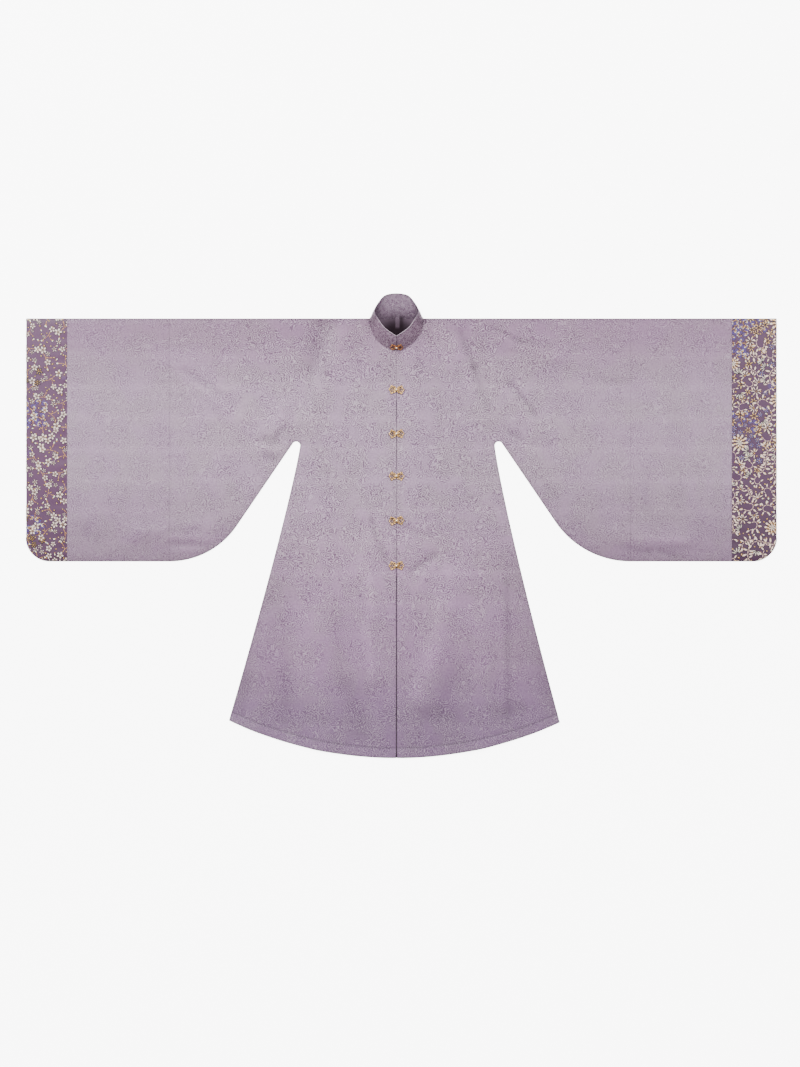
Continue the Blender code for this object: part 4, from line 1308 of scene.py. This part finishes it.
def prototype(name, shapes, height):
    """A mesh of shapes, made once and then copied; heights are shares of the relief."""
    bm = bmesh.new()
    for shape in shapes:
        made = bmesh.ops.create_cone(bm, cap_ends=True, segments=SHAPE_SIDES, radius1=1,
                                     radius2=SHAPE_TAPER, depth=(shape.high - shape.low) * height)["verts"]
        for vert in made:
            vert.co.y *= 1 - shape.pointed * min(abs(vert.co.x), 1) ** 2
        place = (shape.x, shape.y, (shape.low + shape.high) * height / 2)
        placing = placed_at(place, shape.turn, (shape.length, shape.breadth, 1, 1))
        bmesh.ops.transform(bm, matrix=placing, verts=made)
        for face in {face for vert in made for face in vert.link_faces}:
            face.material_index = shape.thread
    return written(name, bm)


def moved(shapes, x=0.0, y=0.0, turn=0.0, size=1.0):
    """Shapes turned, scaled and moved as one, with places in mm."""
    cosine, sine = math.cos(turn) * size, math.sin(turn) * size
    return [shape._replace(x=x * MM + cosine * shape.x - sine * shape.y,
                           y=y * MM + sine * shape.x + cosine * shape.y,
                           length=shape.length * size, breadth=shape.breadth * size, turn=shape.turn + turn)
            for shape in shapes]


def petals(count, reach, length, breadth, fill, rim, pointed=0.0, start=0.0, spread=2 * math.pi, vein=None,
           vein_share=0.36):
    """Petals or leaves round a centre, in mm: a rim of one thread, a fill and sometimes a vein."""
    shapes = []
    for petal in range(count):
        turn = start + spread * petal / count
        x, y = reach * MM * math.cos(turn), reach * MM * math.sin(turn)
        shapes.append(Shape(x, y, (length + RIM_REACH) * MM, (breadth + RIM_REACH) * MM, turn,
                            RELIEF.ground, RELIEF.low, rim, pointed))
        shapes.append(Shape(x, y, length * MM, breadth * MM, turn, RELIEF.ground, RELIEF.mid, fill, pointed))
        if vein is not None:
            shapes.append(Shape(x, y, 0.66 * length * MM, vein_share * breadth * MM, turn,
                                RELIEF.ground, RELIEF.high, vein, pointed))
    return shapes


def dot(x, y, radius, thread, high=RELIEF.high):
    """A knot or seed, in mm."""
    return Shape(x * MM, y * MM, radius * MM, radius * MM, 0, RELIEF.ground, high, thread)


def twig(points, thread=GOLD, breadth=0.62):
    """Stem stitches along points in mm."""
    shapes = []
    for (x, y), (next_x, next_y) in zip(points, points[1:]):
        length = math.hypot(next_x - x, next_y - y) / 2 + 0.5
        shapes.append(Shape((x + next_x) / 2 * MM, (y + next_y) / 2 * MM, length * MM, breadth * MM,
                            math.atan2(next_y - y, next_x - x), RELIEF.ground, RELIEF.low, thread))
    return shapes


def leafy(stem, leaves, leaf):
    """A beige stem with a leaf at each place along it."""
    shapes = twig(stem, BEIGE, 0.8)
    for x, y, lean, size in leaves:
        shapes += moved(leaf, x, y, math.radians(lean), size)
    return shapes


# Leaves along the stems of the spray and the curl: where each starts, its lean and its size
SPRAY_LEAVES = (
    (-19, -6, 150, 1.0), (-12, -1, 100, 1.1), (-11, -1, -75, 0.95), (-3, 1, 70, 1.25), (-2, 0, -100, 1.1),
    (6, 0, 45, 1.2), (6, -1, -120, 1.0), (14, -5, 15, 1.1), (17, -11, -60, 1.2),
)
CURL_LEAVES = (
    (-12, 8, 165, 1.1), (-5, 10, 120, 1.0), (3, 8, 75, 1.2), (9, 3, 30, 1.1), (9, -5, -25, 1.2),
    (4, -9, -80, 1.0), (-2, -8, -160, 1.1),
)


def motif_prototypes(height):
    """The bands' figures: blossoms on twigs, buds, leaf fans and stars, rosettes and seed clusters."""
    stamens = [dot(2.6 * math.cos(turn), 2.6 * math.sin(turn), 0.7, GOLD)
               for turn in (0.6, 1.9, 3.1, 4.4, 5.7)]
    heart = stamens + [dot(0, 0, 2.0, BROWN, RELIEF.high), dot(0, 0, 0.9, CREAM, 1.4)]
    shadow = dot(0, 0, 8.6, BROWN, 0.3)
    blossom = [shadow] + petals(5, 6.0, 4.3, 3.2, GREY, BROWN, 0.1, vein=CREAM, vein_share=0.6) + heart
    grey_blossom = [shadow] + petals(5, 5.5, 3.9, 3.0, GREY, BROWN, 0.1, 0.4, vein=CREAM) + heart
    bud = petals(1, 1.6, 3.0, 2.2, CREAM, BROWN, 0.25) + [dot(-1.6, 0, 1.5, GOLD)]
    gold_bud = petals(1, 1.2, 2.4, 1.7, GOLD, BROWN, 0.25) + [dot(1.6, 0, 0.8, CREAM)]
    small_leaves = petals(5, 4.4, 4.0, 1.2, GREY, BROWN, 0.75, vein=CREAM) + [dot(0, 0, 0.9, GOLD)]
    dark_leaves = petals(6, 5.4, 5.0, 1.9, BROWN, BROWN, 0.7, 0.3, vein=GOLD) + [dot(0, 0, 1.4, GOLD)]
    stem = [(-24, -5), (-17, -1), (-9, 1), (-1, 0), (7, -3), (14, -8), (22, -10)]
    side = [(-1, 0), (5, 6), (9, 13)]
    branch = (twig(stem) + twig(side) + moved(blossom, -18, 4, 0.4, 0.95)
              + moved(grey_blossom, 12, -2, 1.1, 0.9) + moved(bud, 24, -11, -0.3)
              + moved(gold_bud, 10, 15, 1.0) + moved(gold_bud, -8, -6, 3.9)
              + moved(small_leaves, -4, 9, 0.2, 0.8) + moved(bud, -27, -7, 3.6, 0.9))
    fork = (twig([(-16, 8), (-9, 4), (0, 0), (8, -6), (13, -13)]) + twig([(0, 0), (8, 3), (16, 9)])
            + moved(blossom, -17, 9, 0.9, 1.0) + moved(gold_bud, 14, -15, -0.9) + moved(bud, 17, 11, 0.7)
            + moved(gold_bud, 4, 5, 1.6, 0.9) + moved(small_leaves, 6, -14, 0.5, 0.75)
            + moved(gold_bud, -4, -5, 4.2, 0.9))
    pair = moved(blossom, -8, 1, 0.2, 0.95) + moved(grey_blossom, 9, -3, 0.8, 0.85) + moved(bud, 2, 10, 1.4)
    fan = (petals(6, 8.4, 6.8, 1.5, BEIGE, BROWN, 0.8, 0.2, 4.4, vein=CREAM) + [dot(0, 0, 1.6, GOLD)]
           + moved(gold_bud, -5, -4, 3.8, 0.9))
    narrow_fan = petals(5, 9.2, 7.2, 1.3, CREAM, BROWN, 0.85, 0.0, 2.9, vein=GREY) + [dot(0, 0, 1.3, BROWN)]
    star = (petals(7, 7.8, 6.4, 1.5, BEIGE, BROWN, 0.8, vein=CREAM)
            + [dot(0, 0, 1.9, BROWN), dot(0, 0, 1.0, GOLD, 1.4)])
    gold_star = petals(6, 6.2, 5.0, 1.3, GOLD, BROWN, 0.8, 0.5, vein=CREAM) + [dot(0, 0, 1.3, BROWN)]
    rosette = (petals(11, 17.5, 5.0, 3.4, BEIGE, BROWN, 0.15, vein=CREAM)
               + petals(9, 12.0, 4.6, 2.9, GOLD, BROWN, 0.2, 0.3, vein=CREAM)
               + petals(7, 7.0, 3.8, 2.2, BEIGE, BROWN, 0.2, 0.6, vein=CREAM)
               + petals(5, 3.0, 2.4, 1.5, CREAM, BROWN, 0.2, 0.1) + [dot(0, 0, 1.2, GOLD, 1.5)])
    spray_leaf = petals(1, 6.2, 6.0, 2.4, BEIGE, BROWN, 0.65, vein=CREAM)
    spray = leafy([(-20, -6), (-12, -1), (-3, 1), (6, 0), (14, -5), (18, -12)], SPRAY_LEAVES, spray_leaf)
    curl_leaf = petals(1, 5.8, 5.6, 2.3, BEIGE, BROWN, 0.65, vein=CREAM)
    curl = leafy([(-12, 8), (-4, 10), (4, 8), (9, 2), (9, -5), (4, -9), (-2, -8)], CURL_LEAVES, curl_leaf)
    seeds = [dot(reach * math.cos(turn * 2.4), reach * math.sin(turn * 2.4), 0.75 + 0.35 * (turn % 3),
                 (CREAM, VIOLET, GOLD, VIOLET, BROWN)[turn % 5])
             for turn, reach in enumerate(1.6 * math.sqrt(step) for step in range(30))]
    iris = petals(6, 4.6, 3.9, 1.4, VIOLET, BROWN, 0.6, vein=GREY) + [dot(0, 0, 1.3, GOLD)]
    kinds = {"branch": branch, "fork": fork, "pair": pair, "blossom": blossom, "grey_blossom": grey_blossom,
             "bud": bud, "gold_bud": gold_bud, "small_leaves": small_leaves, "dark_leaves": dark_leaves,
             "fan": fan, "narrow_fan": narrow_fan, "star": star, "gold_star": gold_star, "rosette": rosette,
             "seeds": seeds, "iris": iris, "spray": spray, "curl": curl}
    return {name: prototype(name, shapes, height) for name, shapes in kinds.items()}


# The figures are scattered in layers: kinds, least distance to others of the layer and to what is
# there already, the stretch of the band from its fold to its lower edge, and from its seam outwards.
Scatter = namedtuple("Scatter", "kinds apart clear start end inner outer", defaults=(0.0, 1.0, 0.0, 1.0))
RIGHT_FIGURES = (
    Scatter(("branch", "fork"), 45, 0),
    Scatter(("seeds",), 15, 0, 0.35, 0.44, 0.55, 1.0),
    Scatter(("seeds", "dark_leaves"), 18, 0, 0.82, 0.93, 0.6, 1.0),
    Scatter(("dark_leaves",), 30, 14, 0.22, 0.3, 0.7, 1.0),
    Scatter(("pair", "blossom", "blossom"), 25, 21),
    Scatter(("bud", "small_leaves", "gold_bud", "small_leaves", "grey_blossom"), 15, 14),
    Scatter(("gold_bud", "bud", "gold_bud"), 11, 10),
)
LEFT_FIGURES = (
    Scatter(("rosette",), 150, 0),
    Scatter(("seeds",), 13, 8, 0.0, 0.15, 0.0, 0.3),
    Scatter(("seeds", "iris", "gold_star"), 14, 8, 0.4, 0.52, 0.0, 0.6),
    Scatter(("seeds", "gold_star"), 15, 12, 0.0, 0.06, 0.3, 1.0),
    Scatter(("spray", "curl", "spray"), 35, 17, 0.04, 1.0),
    Scatter(("fan", "star", "narrow_fan", "fan"), 24, 20, 0.04, 1.0),
    Scatter(("gold_star", "narrow_fan", "iris", "gold_star"), 17, 15, 0.0, 0.62),
    Scatter(("gold_bud", "bud", "gold_bud"), 10, 9.5),
)
SCATTER_TRIES = 1500
FIGURE_REACH = {"branch": 14, "fork": 9, "rosette": 16, "pair": 6, "spray": 5, "curl": 4}
Placement = namedtuple("Placement", "kind width depth turn room size lift")


def scattered(side, layers, seed):
    """Kinds and places of the figures, in no strict order but nowhere crowded."""
    pick = random.Random(seed)
    reach = side.sleeve_end - side.cuff_seam
    placed = []
    for layer in layers:
        before = len(placed)
        for _ in range(SCATTER_TRIES):
            kind = pick.choice(layer.kinds)
            width = side.cuff_seam + reach * pick.uniform(layer.inner - 0.03, layer.outer + 0.03)
            depth = SLEEVE_DEPTH * pick.uniform(layer.start - 0.005, layer.end + 0.005)
            room = FIGURE_REACH.get(kind, 0) * MM
            new = Placement(kind, width, depth, pick.uniform(0, 2 * math.pi), room,
                            pick.uniform(0.86, 1.16), pick.uniform(0.8, 1.35))
            if all(math.hypot(width - other.width, depth - other.depth)
                   > (layer.apart if index >= before else layer.clear + other.room / MM) * MM
                   for index, other in enumerate(placed)):
                placed.append(new)
    return placed


def trim_to_band(bm, side):
    """Cut away what reaches past the seam, the sleeve's end, the fold and the rounded corner."""
    margin = 1.6 * MM
    corner_x = side.sleeve_end - CUFF_CORNER_RADIUS
    corner_depth = SLEEVE_DEPTH - CUFF_CORNER_RADIUS
    planes = [((side.cuff_seam + 0.6 * MM, 0), (-1, 0)), ((side.sleeve_end - margin, 0), (1, 0)),
              ((0, EDGE_REACH), (0, -1)), ((0, SLEEVE_DEPTH - EDGE_REACH), (0, 1))]
    for angle in np.radians((12, 30, 45, 60, 78)):
        away = (math.sin(angle), math.cos(angle))
        reach = CUFF_CORNER_RADIUS - EDGE_REACH
        planes.append(((corner_x + reach * away[0], corner_depth + reach * away[1]), away))
    for (x, depth), (away_x, away_depth) in planes:
        geometry = bm.verts[:] + bm.edges[:] + bm.faces[:]
        cut = bmesh.ops.bisect_plane(bm, geom=geometry, dist=WELD, plane_co=(x, depth, 0),
                                     plane_no=(away_x, away_depth, 0), clear_outer=True)
        edges = [item for item in cut["geom_cut"] if isinstance(item, bmesh.types.BMEdge)]
        bmesh.ops.holes_fill(bm, edges=[edge for edge in edges if edge.is_boundary], sides=0)


def build_figures(side, layers, seed, materials):
    """The woven figures of one band, raised on its front."""
    kinds = motif_prototypes(bpy.context.scene.coat_band.thread_height)
    bm = bmesh.new()
    for figure in scattered(side, layers, seed):
        size = (figure.size, figure.size, figure.lift, 1)
        add_copy(bm, kinds[figure.kind], placed_at((figure.width, figure.depth, 0), figure.turn, size))
    trim_to_band(bm, side)
    for mesh in kinds.values():
        bpy.data.meshes.remove(mesh)
    for vert in bm.verts:
        vert.co.x *= side.hand
        vert.co.y *= -1
    bmesh.ops.recalc_face_normals(bm, faces=bm.faces)
    piece = finish_piece(f"brocade_figures_{side.name}", bm, materials)
    mesh = piece.data
    plan = points_of(mesh)
    width, depth = side.hand * plan[:, 0], -plan[:, 1]
    surface = front_height(side, width, depth) + bpy.context.scene.coat_cloth.wall / 2
    set_points(mesh, *world(side, width, depth, surface + plan[:, 2] - FIGURE_SINK))
    mesh.shade_flat()
    return piece


# How far the stitches lie from the opening, above the turned hem's edge and inside the band's seam
FRONT_STITCHES = 9 * MM
SEAM_STITCHES = 2.5 * MM
STITCH_LIFT = 0.1 * MM


def build_sewing(side, material):
    """Hand stitches of one side: along the turned hem, the front edge and the band's seam."""
    trim = bpy.context.scene.coat_trim
    proto = bmesh.new()
    bmesh.ops.create_icosphere(proto, subdivisions=1, radius=1,
                               matrix=Matrix.Diagonal((trim.stitch / 2, 0.35 * MM, 0.3 * MM, 1)))
    stitch = written("stitch", proto)
    bm = bmesh.new()
    wall = bpy.context.scene.coat_cloth.wall

    def row(width, depth):
        height = front_height(side, width, depth) + wall / 2 + STITCH_LIFT
        points = np.column_stack(world(side, opened(width, depth), depth, height))
        for point, along in zip(points, np.gradient(points, axis=0)):
            add_copy(bm, stitch, placed_at(point, math.atan2(along[1], along[0])))

    hem = np.arange(14 * MM, side.hem_corner - 12 * MM, trim.stitch_spacing)
    row(hem, hem_depth(hem) - HEM_TURN + SEAM_STITCHES)
    front = np.arange(110 * MM, HEM_CENTRE_DEPTH - HEM_TURN, trim.stitch_spacing)
    row(np.full(front.shape, FRONT_STITCHES), front)
    band = np.arange(12 * MM, SLEEVE_DEPTH - 10 * MM, trim.stitch_spacing)
    row(np.full(band.shape, side.cuff_seam - SEAM_STITCHES), band)
    bpy.data.meshes.remove(stitch)
    return finish_piece(f"hand_sewing_{side.name}", bm, [material])


class COAT_OT_cloth(bpy.types.Operator):
    """Lay the body halves and the sleeve extensions, in damask"""
    bl_idname = "coat.cloth"
    bl_label = "Lay the damask cloth"

    def execute(self, context):
        materials = [damask_material(), inside_material()]
        thread = silk_material("sewing_thread", context.scene.coat_trim.thread, 0.6)
        for side in SIDES:
            body = build_body(side, materials)
            sewing = build_sewing(side, thread)
            2 * layer_area(side)
            sleeve = build_tube(side, "sleeve", materials)
        return {"FINISHED"}


class COAT_OT_bands(bpy.types.Operator):
    """Add the two brocade sleeve bands with their woven figures"""
    bl_idname = "coat.bands"
    bl_label = "Add the brocade bands"

    def execute(self, context):
        band = context.scene.coat_band
        inside = bpy.data.materials["damask_wrong_side"]
        threads = [silk_material(f"{name}_silk_thread", getattr(band, name), 0.45) for name in THREADS]
        rows = (
            (SIDES[0], band.right_ground, RIGHT_FIGURES, 7),
            (SIDES[1], band.left_ground, LEFT_FIGURES, 11),
        )
        for side, ground, layers, seed in rows:
            cloth = brocade_material(f"brocade_ground_{side.name}", ground)
            cuff = build_tube(side, "cuff", [cloth, inside])
            woven = build_figures(side, layers, seed, threads)
        return {"FINISHED"}


class COAT_OT_collar(bpy.types.Operator):
    """Add the standing collar"""
    bl_idname = "coat.collar"
    bl_label = "Add the collar"

    def execute(self, context):
        collar = build_collar([collar_material(), collar_inside_material()])
        edge = build_piping(piping_material())
        return {"FINISHED"}


class COAT_OT_clasps(bpy.types.Operator):
    """Add the collar clasp and the five front clasps"""
    bl_idname = "coat.clasps"
    bl_label = "Add the clasps"

    def execute(self, context):
        trim = context.scene.coat_trim
        gilt = metal_material("gilt_brass", trim.gilt)
        copper = metal_material("coppered_brass", trim.copper)
        build_clasp(1, collar_placing(), COLLAR_CLASP_SCALE, copper)
        for clasp in FRONT_CLASPS:
            place = (LAY_X, LAY_Y - clasp.depth, FRONT_TOP + SEAM_GAP)
            placing = placed_at(place, math.radians(clasp.turn))
            build_clasp(clasp.number, placing, 1, gilt)
        return {"FINISHED"}


class COAT_OT_stage(bpy.types.Operator):
    """Set up the pale floor, the soft lights and the camera"""
    bl_idname = "coat.stage"
    bl_label = "Set the stage"

    def execute(self, context):
        scene = context.scene
        bm = bmesh.new()
        bmesh.ops.create_grid(bm, x_segments=1, y_segments=1, size=9)
        bmesh.ops.translate(bm, verts=bm.verts, vec=(0, 0, -0.4 * MM))
        floor = bpy.data.objects.new("floor", written("floor", bm))
        scene.collection.objects.link(floor)
        material, tree, shader = new_material("matt_white_board")[:3]
        set_inputs(tree, shader, {"Base Color": linear("#FFFFFF"), "Roughness": 0.9,
                                  "Emission Color": linear("#FFFFFF"), "Emission Strength": FLOOR_GLOW})
        floor.data.materials.append(material)
        for name, place, size, power in LIGHTS:
            data = bpy.data.lights.new(name, "AREA")
            data.shape = "DISK"
            data.size = size
            data.energy = power
            light = bpy.data.objects.new(name, data)
            light.location = place
            light.rotation_euler = (-Vector(place)).to_track_quat("-Z", "Y").to_euler()
            scene.collection.objects.link(light)
        surroundings = bpy.data.worlds.new("pale_room")
        surroundings.use_nodes = True
        backdrop = surroundings.node_tree.nodes["Background"]
        set_inputs(surroundings.node_tree, backdrop, {"Color": linear("#FFFFFF"), "Strength": ROOM_LIGHT})
        scene.world = surroundings
        camera = bpy.data.objects.new("camera", bpy.data.cameras.new("camera"))
        across = (IMAGE_WIDTH / 2 - CENTRE_FRONT_PIXEL) * PIXEL_SIZE
        down = (IMAGE_HEIGHT / 2 - SHOULDER_PIXEL) * PIXEL_SIZE
        camera.location = (LAY_X + across, LAY_Y - down, CAMERA_DISTANCE)
        camera.data.sensor_width = SENSOR
        camera.data.lens = SENSOR * CAMERA_DISTANCE / (IMAGE_HEIGHT * PIXEL_SIZE)
        scene.collection.objects.link(camera)
        scene.camera = camera
        return {"FINISHED"}


class COAT_PT_panel(bpy.types.Panel):
    """The coat's settings and steps"""
    bl_idname = "COAT_PT_panel"
    bl_label = "Wide-sleeved coat"
    bl_space_type = "VIEW_3D"
    bl_region_type = "UI"
    bl_category = "Coat"

    def draw(self, context):
        for operator in OPERATORS:
            self.layout.operator(operator.bl_idname)
        for group in (context.scene.coat_cloth, context.scene.coat_band, context.scene.coat_trim):
            column = self.layout.column(align=True)
            for name in group.__annotations__:
                column.prop(group, name)


OPERATORS = (COAT_OT_cloth, COAT_OT_bands, COAT_OT_collar, COAT_OT_clasps, COAT_OT_stage)
SETTINGS = (CoatClothSettings, CoatBandSettings, CoatTrimSettings)


def register():
    """Register the settings, the steps and the panel."""
    for item in SETTINGS + OPERATORS + (COAT_PT_panel,):
        bpy.utils.register_class(item)
    bpy.types.Scene.coat_cloth = PointerProperty(type=CoatClothSettings)
    bpy.types.Scene.coat_band = PointerProperty(type=CoatBandSettings)
    bpy.types.Scene.coat_trim = PointerProperty(type=CoatTrimSettings)


def unregister():
    """Take them out again."""
    for name in ("coat_cloth", "coat_band", "coat_trim"):
        delattr(bpy.types.Scene, name)
    for item in reversed(SETTINGS + OPERATORS + (COAT_PT_panel,)):
        bpy.utils.unregister_class(item)


def main():
    """Dress the coat, step by step."""
    register()
    bpy.ops.coat.cloth()
    bpy.ops.coat.bands()
    bpy.ops.coat.collar()
    bpy.ops.coat.clasps()
    bpy.ops.coat.stage()


if __name__ == "__main__":
    main()
